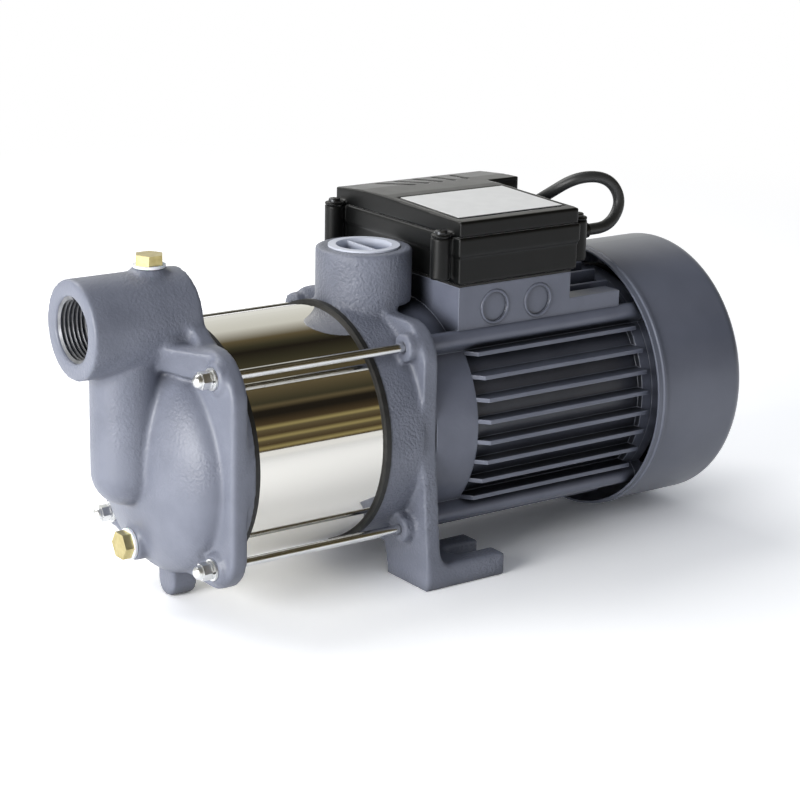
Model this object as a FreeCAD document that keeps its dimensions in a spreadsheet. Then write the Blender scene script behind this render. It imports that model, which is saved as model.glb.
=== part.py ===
import FreeCAD, Part
import math
import os
import Sketcher
from FreeCAD import Vector

# A horizontal multistage pump, in millimetres.
# X runs along the shaft from the suction port to the fan, Z is up, and the shaft is parallel to the floor.
# The row's origin is on the floor, midway between the two foot slots.
# Every piece is drawn about the shaft axis with X = 0 on the front face of the bracket's drum,
# and one shared placement carries it to its place over the floor.

SIZES = [
    # general
    ("shaft_height", 80.0, "floor to shaft axis"),
    ("slot_to_drum", 53.5, "foot slot centre to the drum's front face"),
    ("stack_length", 81.5, "drum face to suction cover face, the length of the clamped stack"),
    # shell and gaskets
    ("shell_radius", 62.5, "outer radius of the stainless shell"),
    ("shell_wall", 1.5, "wall of the shell"),
    ("gasket_web", 1.5, "rubber between the shell's edge and the casting"),
    ("lip_wall", 1.9, "gasket lip outside the shell"),
    ("lip_length", 2.8, "gasket lip along the shell, web included"),
    # bracket
    ("drum_radius", 64.0, "outside of the discharge drum"),
    ("drum_length", 21.0, "drum face to flange face"),
    ("drum_wall", 7.0, "wall of the drum"),
    ("chamber_depth", 15.5, "drum face to the web"),
    ("flange_thickness", 9.0, "motor flange of the bracket"),
    ("flange_half_width", 62.5, "shaft axis to the flange's side"),
    ("flange_half_height", 61.0, "shaft axis to the flange's top"),
    ("flange_round", 20.0, "corner radius of the flange"),
    ("foot_outer", 70.0, "shaft axis to the outside of a foot"),
    ("foot_inner", 33.5, "shaft axis to the inside of a foot"),
    ("foot_thickness", 12.5, "foot plate"),
    ("foot_reach", 18.5, "slot centre to the rear end of the foot"),
    ("foot_fillet", 7.0, "column to foot plate"),
    ("arch_slope", 3.0, "slope of the opening between the feet"),
    ("slot_width", 12.0, "foot slot, open to the rear"),
    ("discharge_x", 25.5, "drum face to the discharge port's axis"),
    ("discharge_height", 91.2, "shaft axis to the discharge port's face"),
    ("discharge_radius", 25.5, "outside of the discharge boss"),
    ("boss_root", 38.4, "shaft axis to the foot of the discharge boss"),
    ("outlet_low", 51.2, "shaft axis to the foot of the outlet passage"),
    ("overhang_height", 62.5, "shaft axis to the underside of the boss behind the flange"),
    ("thread_radius", 16.6, "port thread, at its root"),
    ("thread_depth", 19.0, "length of the port threads"),
    ("lead_radius", 17.2, "plain lead-in of the discharge port"),
    ("spigot_length", 3.0, "bracket and end shield spigots in the motor housing"),
    ("spigot_wall", 4.0, "wall of the spigots"),
    ("web_recess", 4.0, "recess behind the web, round the bearing hub"),
    ("hub_radius", 27.0, "bearing hub of the bracket and of the end shield"),
    ("hub_back", 42.5, "drum face to the rear of the bracket's bearing hub"),
    ("seal_bore", 15.0, "bore for the seal's fixed seat"),
    ("seal_depth", 6.5, "depth of the seat's bore"),
    ("shaft_passage", 10.0, "bore round the shaft between seal and bearing"),
    # tie rods
    ("rod_y", 51.7, "shaft axis to a tie rod, sideways"),
    ("rod_z", 48.9, "shaft axis to a tie rod, up or down"),
    ("rod_radius", 2.5, "tie rod"),
    ("rod_boss_radius", 7.5, "rod bosses of the bracket"),
    ("rod_boss_length", 6.5, "rod boss in front of the bracket's flange"),
    ("nut_seat", 3.0, "height of the nut seats on the cover"),
    ("seat_radius", 7.8, "nut seats of the cover"),
    ("nut_flats", 8.0, "acorn nut across flats"),
    ("nut_height", 4.5, "hexagon of the acorn nut"),
    ("crown_radius", 3.7, "round top of the acorn nut"),
    ("crown_round", 3.3, "rounding of the top"),
    ("washer_radius", 5.6, "flat washer"),
    ("washer_thickness", 1.0, "flat washer"),
    ("spring_radius", 4.6, "spring washer"),
    ("spring_thickness", 1.4, "spring washer"),
    ("spring_gap", 1.0, "slit of the spring washer"),
    # suction cover
    ("cover_flange", 14.0, "suction cover, from the stack to the flange's front face"),
    ("rim_length", 5.0, "round rim behind the flange plate"),
    ("rim_radius", 65.8, "round rim that holds the gasket"),
    ("cover_half_width", 66.0, "shaft axis to the cover flange's side"),
    ("cover_half_height", 61.5, "shaft axis to the cover flange's top"),
    ("cover_round", 26.0, "upper corner radius of the cover flange"),
    ("cover_low_round", 22.0, "lower corner radius of the cover flange"),
    ("dome_depth", 23.0, "dome in front of the cover flange"),
    ("dome_half_width", 56.5, "dome sideways"),
    ("dome_half_height", 57.0, "dome up and down"),
    ("dome_drop", 8.0, "dome centre below the shaft axis"),
    ("dome_sink", 1.5, "centre of the dome behind the flange's front face"),
    ("crown_rise", 18.0, "centre of the dome's narrow crown above the shaft axis"),
    ("crown_half_width", 36.0, "crown sideways"),
    ("crown_half_height", 32.0, "crown up and down"),
    ("crown_depth", 16.0, "crown in front of the cover flange"),
    ("nose_reach", 22.0, "cover flange to the axis of the channel nose"),
    ("nose_radius", 18.0, "channel nose"),
    ("nose_drop", 8.0, "centre of the nose's round end below the shaft axis"),
    ("suction_height", 67.9, "shaft axis to the suction port's axis"),
    ("suction_radius", 25.2, "outside of the suction boss"),
    ("suction_reach", 51.6, "cover flange to the suction port's face"),
    ("web_foot", 39.0, "foot of the webs between boss and flange top, sideways"),
    ("web_rise", 8.0, "webs above the flange's top, at the boss"),
    ("ear_half_width", 50.0, "ears between boss and flange, sideways"),
    ("ear_shoulder", 40.0, "ears where their top is level, sideways"),
    ("ear_drop", 2.6, "ears' outer corner below the flange's top"),
    ("ear_low", 43.0, "shaft axis to the foot of the ears at the flange"),
    ("ear_reach", 17.0, "ears in front of the flange"),
    ("ear_tip", 21.5, "ears at the boss, sideways"),
    ("ear_tip_low", 47.0, "shaft axis to the foot of the ears at the nose"),
    ("plate_edge", 2.0, "rounded front edge of the cover's plate"),
    ("passage_radius", 12.5, "water passages of the cover"),
    ("passage_end", 5.0, "cover flange to the end of the upper passage"),
    ("cavity_radius", 50.0, "suction cavity at the stack"),
    ("cavity_depth", 10.0, "straight part of the suction cavity"),
    ("cavity_cone", 20.0, "tapered part of the suction cavity"),
    ("cavity_end", 20.0, "radius at the cavity's front"),
    ("pad_radius", 9.0, "plug pads of the cover"),
    ("priming_reach", 7.8, "cover flange to the priming plug"),
    ("priming_height", 94.8, "shaft axis to the priming plug's pad"),
    ("drain_reach", 20.5, "cover flange to the drain plug's pad"),
    ("drain_drop", 47.6, "shaft axis down to the drain plug"),
    ("plug_thread", 5.0, "radius of the plug threads"),
    ("plug_length", 9.0, "length of the plug threads"),
    ("plug_flats", 13.0, "plug head across flats"),
    ("plug_head", 5.0, "height of the plug head"),
    ("plug_washer", 8.2, "radius of the plug washers"),
    ("plug_washer_thickness", 1.4, "plug washers"),
    ("stub_length", 14.0, "support stub along the shaft"),
    ("stub_radius", 8.0, "support stub"),
    # stages
    ("stage_count", 4, "stages"),
    ("stage_pitch", 18.0, "one stage along the shaft"),
    ("stage_start", 76.0, "drum face back to the first stage"),
    ("stage_clearance", 0.5, "stage rings inside the shell"),
    ("stage_seam", 0.2, "seam between two stage casings"),
    ("stage_plate", 2.0, "plate of a stage casing"),
    ("stage_ring", 1.5, "ring wall of a stage casing"),
    ("eye_radius", 20.0, "eye of a stage casing"),
    ("impeller_radius", 48.0, "impeller"),
    ("impeller_gap", 1.0, "impeller behind the stage plate"),
    ("impeller_width", 7.0, "impeller along the shaft"),
    ("shroud", 1.5, "impeller shrouds"),
    ("blade", 1.6, "blades and vanes"),
    ("diffuser_radius", 55.0, "diffuser plate"),
    ("diffuser_gap", 1.0, "diffuser behind the impeller"),
    ("diffuser_bore", 11.0, "bore of the diffuser round the spacer"),
    ("sleeve_radius", 10.0, "impeller hubs and spacer sleeves"),
    ("impeller_nut_flats", 19.0, "impeller nut across flats"),
    ("impeller_nut_length", 7.0, "impeller nut along the shaft"),
    ("shaft_tip", 1.0, "shaft in front of the impeller nut"),
    # shaft and bearings
    ("wet_radius", 7.0, "shaft in the stages"),
    ("seal_radius", 8.0, "shaft under the seal"),
    ("bearing_bore", 8.5, "shaft in the bearings"),
    ("bearing_radius", 20.0, "outside of the bearings"),
    ("bearing_width", 12.0, "bearings"),
    ("race_wall", 3.0, "thickness of the bearing rings"),
    ("race_gap", 0.3, "shield to inner ring"),
    ("core_shaft", 11.0, "shaft in the rotor"),
    ("tail_radius", 7.0, "shaft under the fan"),
    ("shaft_tail", 4.5, "shaft behind the fan"),
    ("seal_head_radius", 13.0, "rotating head of the seal"),
    ("seal_head_length", 13.0, "rotating head of the seal"),
    ("seal_face_gap", 0.3, "seal head to seat"),
    # motor
    ("housing_bore", 56.0, "motor housing, inside"),
    ("housing_radius", 59.0, "motor housing, between the fins"),
    ("collar_radius", 62.5, "plain ends of the motor housing"),
    ("housing_length", 148.0, "motor housing"),
    ("fin_tip", 67.5, "shaft axis to the tips of the fins"),
    ("fin_pitch", 11.3, "fin to fin"),
    ("fin_thickness", 2.2, "fins"),
    ("fin_slope", 4.5, "slope at the front ends of the side fins"),
    ("fin_root", 54.0, "fins, sunk in the wall"),
    ("fin_start", 27.0, "flange to the front ends of the fins"),
    ("fin_stop", 7.0, "rear end of the housing to the rear ends of the fins"),
    ("rail_radius", 4.75, "rounded edge of the bolt rails"),
    ("bolt_circle", 67.0, "shaft axis to the through bolts"),
    ("bolt_radius", 2.5, "through bolts"),
    ("bolt_grip", 5.5, "through bolt in the bracket's flange"),
    ("tip_gap", 2.0, "tip of a through bolt to the end of a tie rod"),
    ("bolt_head", 4.0, "height of the through bolts' heads"),
    ("bolt_flats", 8.0, "through bolts across flats"),
    ("core_start", 40.0, "flange to the stator core"),
    ("end_room", 13.0, "rear end turns to the end of the housing"),
    ("air_gap", 0.4, "rotor to stator"),
    ("rotor_radius", 30.8, "rotor"),
    ("turns_inner", 35.0, "end turns, inside"),
    ("turns_outer", 53.0, "end turns, outside"),
    ("turns_length", 20.0, "end turns along the shaft"),
    ("end_ring", 5.0, "end rings of the rotor"),
    ("shield_thickness", 7.0, "rear end shield"),
    ("shield_hub", 6.0, "hub of the end shield inside the housing"),
    ("wave_washer", 0.6, "wave washer behind the rear bearing"),
    ("back_wall", 2.0, "end shield behind the bearing"),
    ("fan_radius", 62.0, "fan"),
    ("fan_gap", 8.0, "end shield to fan"),
    ("fan_plate", 2.0, "fan plate"),
    ("fan_width", 24.0, "fan blades along the shaft"),
    ("fan_hub", 13.0, "fan hub"),
    ("fan_blades", 7, "fan blades"),
    ("clip_thickness", 1.0, "fan clip"),
    ("cover_radius", 75.2, "fan cover"),
    ("cover_wall", 1.2, "fan cover"),
    ("cover_overlap", 5.8, "fan cover over the housing"),
    ("cover_length", 64.9, "fan cover along the shaft"),
    ("cover_corner", 8.0, "rounded rear edge of the fan cover"),
    ("bead_place", 3.0, "front rim of the fan cover to its bead"),
    ("bead_width", 3.0, "bead of the fan cover"),
    ("bead_rise", 0.8, "bead above the fan cover"),
    ("bead_side", 0.7, "slope at each side of the bead"),
    ("grille_count", 24, "slots of the grille in each ring"),
    ("grille_inner", 18.0, "inner ring of slots, inside"),
    ("grille_middle", 36.0, "inner ring of slots, outside"),
    ("grille_bridge", 5.0, "between the two rings of slots"),
    ("grille_outer", 61.0, "outer ring of slots, outside"),
    ("grille_slot", 3.0, "width of a slot"),
    ("screw_head", 3.2, "heads of the small screws"),
    ("head_height", 1.8, "heads of the small screws"),
    # terminal box
    ("box_front", 22.3, "flange to the front end of the terminal box"),
    ("box_length", 79.0, "terminal box along the shaft"),
    ("bay_length", 22.0, "capacitor bay beyond the box"),
    ("bay_start", 31.0, "shaft axis to the near side of the bay"),
    ("box_near", 48.5, "shaft axis to the near side of the box"),
    ("box_far", 66.0, "shaft axis to the far side of the box"),
    ("cast_height", 75.0, "shaft axis to the top of the cast base"),
    ("cast_floor", 63.0, "shaft axis to the floor of the cast base"),
    ("cast_low", 44.0, "shaft axis to the underside of the cast base"),
    ("cast_wall", 4.0, "wall of the cast base"),
    ("lead_hole", 10.0, "hole for the motor leads"),
    ("knock_radius", 8.0, "knock-outs of the cast base"),
    ("knock_depth", 0.8, "knock-outs, sunk"),
    ("knock_height", 62.3, "shaft axis to the knock-outs"),
    ("knock_first", 24.0, "box front to the first knock-out"),
    ("knock_pitch", 29.0, "between the knock-outs"),
    ("cast_end", 4.0, "rear end of the cast base to the rear end of the box"),
    ("step_length", 35.5, "stepped block behind the cast base"),
    ("step_width", 12.0, "stepped block"),
    ("step_height", 60.5, "shaft axis to the top of the stepped block"),
    ("box_seal", 1.2, "box gasket"),
    ("box_height", 24.8, "plastic box base"),
    ("box_wall", 2.2, "plastic walls"),
    ("rim_height", 9.5, "rim band of the box base"),
    ("rim_out", 1.0, "rim band, standing out"),
    ("post_radius", 5.2, "screw posts"),
    ("post_out", 6.5, "box end to the screw posts"),
    ("post_near", 40.0, "shaft axis to the near posts"),
    ("post_far", 58.0, "shaft axis to the far posts"),
    ("post_height", 22.0, "screw posts"),
    ("lid_height", 8.5, "lid at its near edge"),
    ("lid_rise", 2.2, "rise of the lid from its near edge to its crest"),
    ("lid_crest", 22.0, "shaft axis to the crest of the lid"),
    ("lid_fall", 2.6, "fall of the arched part from the crest to the far edge"),
    ("lid_bow", 0.7, "arched part above the chord"),
    ("lid_groove", 1.4, "width of the lid's grooves"),
    ("groove_depth", 0.8, "depth of the lid's grooves"),
    ("groove_near", 40.0, "shaft axis to the near ends of the grooves"),
    ("groove_far", 61.0, "shaft axis to the far ends of the grooves"),
    ("groove_first", 34.0, "box front to the first groove"),
    ("groove_pitch", 9.2, "groove to groove at the near ends"),
    ("groove_spread", 13.0, "groove to groove at the far ends"),
    ("groove_lean", 11.0, "lean of the first groove towards the box front"),
    ("tab_thickness", 2.0, "lid tabs on the posts"),
    ("lid_screw", 1.75, "lid screws"),
    ("label_thickness", 0.3, "rating label"),
    ("label_length", 69.0, "rating label along the shaft"),
    ("label_width", 52.0, "rating label"),
    ("label_margin", 5.5, "box front to label"),
    ("label_near", 9.0, "near side of the box to label"),
    ("capacitor_radius", 12.0, "start capacitor"),
    ("capacitor_length", 56.0, "start capacitor"),
    ("block_length", 40.0, "terminal block"),
    ("block_near", 36.0, "shaft axis to the near side of the terminal block"),
    ("block_width", 16.0, "terminal block"),
    ("block_height", 12.0, "terminal block"),
    # gland and cord
    ("gland_y", -20.0, "shaft axis to the cable gland"),
    ("gland_height", 89.0, "shaft axis to the cable gland"),
    ("gland_radius", 8.0, "cable gland"),
    ("gland_length", 7.0, "cable gland outside the box"),
    ("relief_length", 22.0, "tapered strain relief"),
    ("relief_end", 4.4, "strain relief at its tip"),
    ("cord_radius", 3.25, "power cord"),
    ("coil_radius", 36.0, "coil, at the middle of its turns"),
    # plug
    ("plug_radius", 18.5, "plug body"),
    ("plug_height", 26.0, "plug body"),
    ("plug_entry", 10.5, "floor to the middle of the plug's relief"),
    ("plug_neck", 7.0, "plug's relief at the body"),
    ("plug_relief", 26.0, "tapered relief of the plug"),
    ("plug_gap", 20.0, "centre of the coil to the tip of the plug's relief"),
    ("pin_spacing", 19.0, "between the plug's pins"),
    ("pin_radius", 2.4, "plug pins"),
    ("pin_length", 19.0, "plug pins"),
    # cap
    ("cap_flange", 19.0, "thread protector, outside"),
    ("cap_rim", 1.0, "thread protector, above the port face"),
    ("cap_body", 16.0, "thread protector, in the port"),
    ("cap_depth", 6.0, "thread protector, in the port"),
    ("cap_wall", 1.2, "thread protector"),
]


class Size:
    """A number together with the sheet expression that it comes from."""

    def __init__(self, number, text):
        self.number = float(number)
        self.text = text

    def joined(self, sign, other, number):
        return Size(number, "(%s %s %s)" % (self.text, sign, text_of(other)))

    def __add__(self, other):
        return self.joined("+", other, self.number + number_of(other))

    def __sub__(self, other):
        return self.joined("-", other, self.number - number_of(other))

    def __mul__(self, other):
        return self.joined("*", other, self.number * number_of(other))

    def __truediv__(self, other):
        return self.joined("/", other, self.number / number_of(other))

    def __neg__(self):
        return Size(-self.number, "(-1 * %s)" % self.text)


def number_of(value):
    return value.number if isinstance(value, Size) else float(value)


def text_of(value):
    return value.text if isinstance(value, Size) else repr(float(value))


def root(value):
    """The square root of a size."""
    return Size(math.sqrt(value.number), "sqrt(%s)" % value.text)


class Sizes:
    """The sheet's values by name."""


doc = FreeCAD.newDocument("HorizontalMultistagePump")
sheet = doc.addObject("Spreadsheet::Sheet", "Sizes")
S = Sizes()
for line, (name, value, note) in enumerate(SIZES, start=1):
    sheet.set("A%d" % line, name)
    sheet.set("B%d" % line, str(value))
    sheet.set("C%d" % line, note)
    sheet.setAlias("B%d" % line, name)
    setattr(S, name, Size(value, "Sizes." + name))
doc.recompute()

HALF = 0.5
ZERO = S.shaft_height * 0.0
FULL_TURN = 360.0
ARC_MIDDLE = round(1 - math.sqrt(HALF), 9)
NODES = []


def bind(thing, where, size):
    """Ties one property to the sheet."""
    thing.setExpression(where, text_of(size))


def seat(thing, node):
    """Names a sub-part and carries it to its place over the floor."""
    thing.Label = node
    bind(thing, "Placement.Base.x", -S.slot_to_drum)
    bind(thing, "Placement.Base.z", S.shaft_height)
    NODES.append(thing)
    return thing


def new_body(node, seated=True):
    body = doc.addObject("PartDesign::Body", node)
    return seat(body, node) if seated else body


def sketch_on(body, role, x=None, y=None, z=None):
    """A sketch on one of the body's own planes, moved by x and y in the plane and z along its normal."""
    drawing = body.newObject("Sketcher::SketchObject", "Sketch")
    plane = [item for item in body.Origin.OriginFeatures if item.Role == role][0]
    drawing.AttachmentSupport = [(plane, "")]
    drawing.MapMode = "FlatFace"
    for axis, shift in (("x", x), ("y", y), ("z", z)):
        if shift is not None:
            bind(drawing, "AttachmentOffset.Base." + axis, shift)
    return drawing


def hold(drawing, item, end, point):
    """Holds one point by its two distances from the sketch's origin."""
    for kind, value in (("DistanceX", point[0]), ("DistanceY", point[1])):
        rule = drawing.addConstraint(Sketcher.Constraint(kind, -1, 1, item, end, number_of(value)))
        if isinstance(value, Size):
            bind(drawing, "Constraints[%d]" % rule, value)


def outline(drawing, points):
    """A closed outline of straight lines through the points."""
    first = drawing.GeometryCount
    count = len(points)
    for i in range(count):
        a = points[i]
        b = points[(i + 1) % count]
        start = Vector(number_of(a[0]), number_of(a[1]), 0)
        end = Vector(number_of(b[0]), number_of(b[1]), 0)
        drawing.addGeometry(Part.LineSegment(start, end), False)
    for i in range(count):
        drawing.addConstraint(Sketcher.Constraint("Coincident", first + i, 2, first + (i + 1) % count, 1))
    for i in range(count):
        hold(drawing, first + i, 1, points[i])


def circle(drawing, centre, radius):
    """A circle held by its centre and radius."""
    middle = Vector(number_of(centre[0]), number_of(centre[1]), 0)
    item = drawing.addGeometry(Part.Circle(middle, Vector(0, 0, 1), number_of(radius)), False)
    hold(drawing, item, 3, centre)
    rule = drawing.addConstraint(Sketcher.Constraint("Radius", item, number_of(radius)))
    bind(drawing, "Constraints[%d]" % rule, radius)


def rectangle(drawing, low, high):
    outline(drawing, [low, (high[0], low[1]), high, (low[0], high[1])])


def pad(body, drawing, length, backwards=False):
    feature = body.newObject("PartDesign::Pad", "Pad")
    feature.Profile = drawing
    bind(feature, "Length", length)
    feature.Reversed = backwards
    return feature


def checked_cut(body, feature, before):
    doc.recompute()
    if feature.Shape.isNull() or not feature.Shape.Volume < before:
        raise RuntimeError("a cut in %s removes nothing" % body.Label)
    return feature


def pocket(body, drawing, length, forwards=False):
    """A cut against the sketch's normal, or along it."""
    doc.recompute()
    before = body.Shape.Volume
    feature = body.newObject("PartDesign::Pocket", "Pocket")
    feature.Profile = drawing
    bind(feature, "Length", length)
    feature.Reversed = forwards
    return checked_cut(body, feature, before)


def revolve(body, drawing, axis="H_Axis"):
    feature = body.newObject("PartDesign::Revolution", "Revolution")
    feature.Profile = drawing
    feature.ReferenceAxis = (drawing, [axis])
    feature.Angle = FULL_TURN
    return feature


def groove(body, drawing, axis="H_Axis"):
    doc.recompute()
    before = body.Shape.Volume
    feature = body.newObject("PartDesign::Groove", "Groove")
    feature.Profile = drawing
    feature.ReferenceAxis = (drawing, [axis])
    feature.Angle = FULL_TURN
    return checked_cut(body, feature, before)


def turned(node, points, seated=True):
    """A body turned about the shaft axis from an outline of (x, radius) points."""
    body = new_body(node, seated)
    drawing = sketch_on(body, "XZ_Plane")
    outline(drawing, points)
    revolve(body, drawing)
    return body


def rod_along_x(body, start, length, centre, radius, backwards=False):
    drawing = sketch_on(body, "YZ_Plane", z=start)
    circle(drawing, centre, radius)
    return pad(body, drawing, length, backwards)


def hole_along_x(body, start, length, centre, radius, forwards=True):
    drawing = sketch_on(body, "YZ_Plane", z=start)
    circle(drawing, centre, radius)
    return pocket(body, drawing, length, forwards)


def rod_along_z(body, start, length, centre, radius):
    drawing = sketch_on(body, "XY_Plane", z=start)
    circle(drawing, centre, radius)
    return pad(body, drawing, length)


def hole_along_z(body, start, length, centre, radius):
    """A cut downwards from start."""
    drawing = sketch_on(body, "XY_Plane", z=start)
    circle(drawing, centre, radius)
    return pocket(body, drawing, length)


def softened(body, radius, chosen, kind="PartDesign::Fillet"):
    """Fillets or chamfers the edges that the test picks from the body's shape so far."""
    doc.recompute()
    last = body.Tip
    picked = ["Edge%d" % (i + 1) for i, edge in enumerate(last.Shape.Edges) if chosen(edge)]
    if not picked:
        raise RuntimeError("no edge to soften in %s" % body.Label)
    feature = body.newObject(kind, "Softened")
    feature.Base = (last, picked)
    bind(feature, "Radius" if kind.endswith("Fillet") else "Size", radius)
    return feature


def near(a, b):
    return abs(a - number_of(b)) < 0.01


def along(edge, axis):
    """True for a straight edge along the axis."""
    box = edge.BoundBox
    spans = {"x": box.XLength, "y": box.YLength, "z": box.ZLength}
    return all((spans[k] > 0.01) == (k == axis) for k in spans)


def four_fold(node, single):
    """Four copies of a piece, mirrored sideways and up and down about the shaft axis."""
    across = doc.addObject("Part::Mirroring", node + "_across")
    across.Source = single
    across.Normal = Vector(0, 1, 0)
    pair = doc.addObject("Part::Compound", node + "_pair")
    pair.Links = [single, across]
    below = doc.addObject("Part::Mirroring", node + "_below")
    below.Source = pair
    below.Normal = Vector(0, 0, 1)
    whole = doc.addObject("Part::Compound", node)
    whole.Links = [pair, below]
    return seat(whole, node)


def spun(point, degrees):
    """A point turned about the sketch's origin."""
    c = round(math.cos(math.radians(degrees)), 9)
    s = round(math.sin(math.radians(degrees)), 9)
    return (point[0] * c - point[1] * s, point[0] * s + point[1] * c)


def in_a_row(body, features, count, pitch):
    """Repeats features along the shaft."""
    pattern = body.newObject("PartDesign::LinearPattern", "Row")
    pattern.Originals = features
    line = [item for item in body.Origin.OriginFeatures if item.Role == "X_Axis"][0]
    pattern.Direction = (line, [""])
    bind(pattern, "Occurrences", count)
    bind(pattern, "Length", pitch * (count - 1))
    body.Tip = pattern
    return pattern


def in_a_ring(body, features, count):
    """Repeats features round the shaft axis."""
    pattern = body.newObject("PartDesign::PolarPattern", "Ring")
    pattern.Originals = features
    line = [item for item in body.Origin.OriginFeatures if item.Role == "X_Axis"][0]
    pattern.Axis = (line, [""])
    pattern.Angle = FULL_TURN
    bind(pattern, "Occurrences", count)
    body.Tip = pattern
    return pattern


# Stations along the shaft, all from the drum's front face.
cover_back = -S.stack_length
cover_face = cover_back - S.cover_flange
shell_front = cover_back + S.gasket_web
shell_back = -S.gasket_web
flange_front = S.drum_length
motor_face = S.drum_length + S.flange_thickness
housing_end = motor_face + S.housing_length
rod_place = (S.rod_y, S.rod_z)


# Pump shell: a plain tube of polished stainless steel.
turned("pump_shell", [
    (shell_front, S.shell_radius - S.shell_wall), (shell_back, S.shell_radius - S.shell_wall),
    (shell_back, S.shell_radius), (shell_front, S.shell_radius),
])

# Gaskets: rubber U rings that grip the two edges of the shell.
lip_inner = S.shell_radius - S.shell_wall - S.lip_wall
lip_outer = S.shell_radius + S.lip_wall
turned("front_gasket", [
    (cover_back, lip_inner), (cover_back + S.lip_length, lip_inner),
    (cover_back + S.lip_length, S.shell_radius - S.shell_wall), (shell_front, S.shell_radius - S.shell_wall),
    (shell_front, S.shell_radius), (cover_back + S.lip_length, S.shell_radius),
    (cover_back + S.lip_length, lip_outer), (cover_back, lip_outer),
])
turned("rear_gasket", [
    (ZERO, lip_inner), (-S.lip_length, lip_inner),
    (-S.lip_length, S.shell_radius - S.shell_wall), (shell_back, S.shell_radius - S.shell_wall),
    (shell_back, S.shell_radius), (-S.lip_length, S.shell_radius),
    (-S.lip_length, lip_outer), (ZERO, lip_outer),
])

# Suction cover: flange plate, gasket rim, dome with its crown, channel nose and suction boss in one casting.


def bulge(body, centre, height, depth, width):
    """Half of an ellipsoid that stands out of the cover's flange."""
    feature = body.newObject("PartDesign::AdditiveEllipsoid", "Bulge")
    plane = [item for item in body.Origin.OriginFeatures if item.Role == "XY_Plane"][0]
    feature.AttachmentSupport = [(plane, "")]
    feature.MapMode = "FlatFace"
    bind(feature, "AttachmentOffset.Base.x", cover_face + S.dome_sink)
    bind(feature, "AttachmentOffset.Base.z", centre)
    bind(feature, "Radius1", height)
    bind(feature, "Radius2", depth + S.dome_sink)
    bind(feature, "Radius3", width)


plate_back = cover_back - S.rim_length
plate_length = S.cover_flange - S.rim_length
cover = new_body("suction_cover")
drawing = sketch_on(cover, "YZ_Plane", z=plate_back)
rectangle(drawing, (-S.cover_half_width, -S.cover_half_height), (S.cover_half_width, S.cover_half_height))
pad(cover, drawing, plate_length, backwards=True)
softened(cover, S.cover_round, lambda edge: along(edge, "x") and near(edge.BoundBox.ZMin, S.cover_half_height))
softened(cover, S.cover_low_round, lambda edge: along(edge, "x") and near(edge.BoundBox.ZMin, -S.cover_half_height))
softened(cover, S.plate_edge, lambda edge: near(edge.BoundBox.XMin, cover_face)
         and near(edge.BoundBox.XMax, cover_face))
rod_along_x(cover, cover_back, S.rim_length, (ZERO, ZERO), S.rim_radius, backwards=True)
bulge(cover, -S.dome_drop, S.dome_half_height, S.dome_depth, S.dome_half_width)
bulge(cover, S.crown_rise, S.crown_half_height, S.crown_depth, S.crown_half_width)
drawing = sketch_on(cover, "YZ_Plane", z=cover_back)
circle(drawing, (ZERO, ZERO), S.cover_half_width * 2.0)
pocket(cover, drawing, S.dome_depth * 2.0, forwards=True)
nose_x = cover_face - S.nose_reach
port_x = cover_face - S.suction_reach
rod_along_z(cover, -S.nose_drop, S.suction_height + S.nose_drop, (nose_x, ZERO), S.nose_radius)
ball = sketch_on(cover, "XZ_Plane", x=nose_x, y=-S.nose_drop)
ball_radius = S.nose_radius.number
first = ball.addGeometry(Part.LineSegment(Vector(0, -ball_radius, 0), Vector(0, ball_radius, 0)), False)
round_side = Part.Circle(Vector(0, 0, 0), Vector(0, 0, 1), ball_radius)
second = ball.addGeometry(Part.ArcOfCircle(round_side, -math.pi / 2, math.pi / 2), False)
ball.addConstraint(Sketcher.Constraint("Coincident", first, 1, second, 1))
ball.addConstraint(Sketcher.Constraint("Coincident", first, 2, second, 2))
ball.addConstraint(Sketcher.Constraint("Coincident", second, 3, -1, 1))
ball.addConstraint(Sketcher.Constraint("PointOnObject", first, 1, -2))
ball.addConstraint(Sketcher.Constraint("PointOnObject", first, 2, -2))
rule = ball.addConstraint(Sketcher.Constraint("Radius", second, ball_radius))
bind(ball, "Constraints[%d]" % rule, S.nose_radius)
revolve(cover, ball, "V_Axis")
suction_axis = (ZERO, S.suction_height)
rod_along_x(cover, port_x, plate_back - port_x, suction_axis, S.suction_radius)
drawing = sketch_on(cover, "YZ_Plane", z=plate_back)
outline(drawing, [
    (-S.web_foot, S.ear_low), (S.web_foot, S.ear_low), (S.web_foot, S.cover_half_height - S.plate_edge),
    (S.suction_radius, S.cover_half_height + S.web_rise), (-S.suction_radius, S.cover_half_height + S.web_rise),
    (-S.web_foot, S.cover_half_height - S.plate_edge),
])
pad(cover, drawing, plate_length, backwards=True)
ear_foot = sketch_on(cover, "YZ_Plane", z=cover_face + S.plate_edge)
outline(ear_foot, [
    (-S.ear_shoulder, S.ear_low), (S.ear_shoulder, S.ear_low),
    (S.ear_half_width, S.cover_half_height - S.ear_drop), (S.ear_shoulder, S.cover_half_height),
    (-S.ear_shoulder, S.cover_half_height), (-S.ear_half_width, S.cover_half_height - S.ear_drop),
])
ear_end = sketch_on(cover, "YZ_Plane", z=cover_face - S.ear_reach)
outline(ear_end, [
    (-S.nose_radius * HALF, S.ear_tip_low), (S.nose_radius * HALF, S.ear_tip_low),
    (S.ear_tip, S.cover_half_height - S.ear_drop), (S.nose_radius, S.cover_half_height),
    (-S.nose_radius, S.cover_half_height), (-S.ear_tip, S.cover_half_height - S.ear_drop),
])
ears = cover.newObject("PartDesign::AdditiveLoft", "Ears")
ears.Profile = ear_foot
ears.Sections = [ear_end]
ears.Ruled = True
priming_place = (cover_face - S.priming_reach, ZERO)
rod_along_z(cover, S.suction_height, S.priming_height - S.suction_height, priming_place, S.pad_radius)
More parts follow.
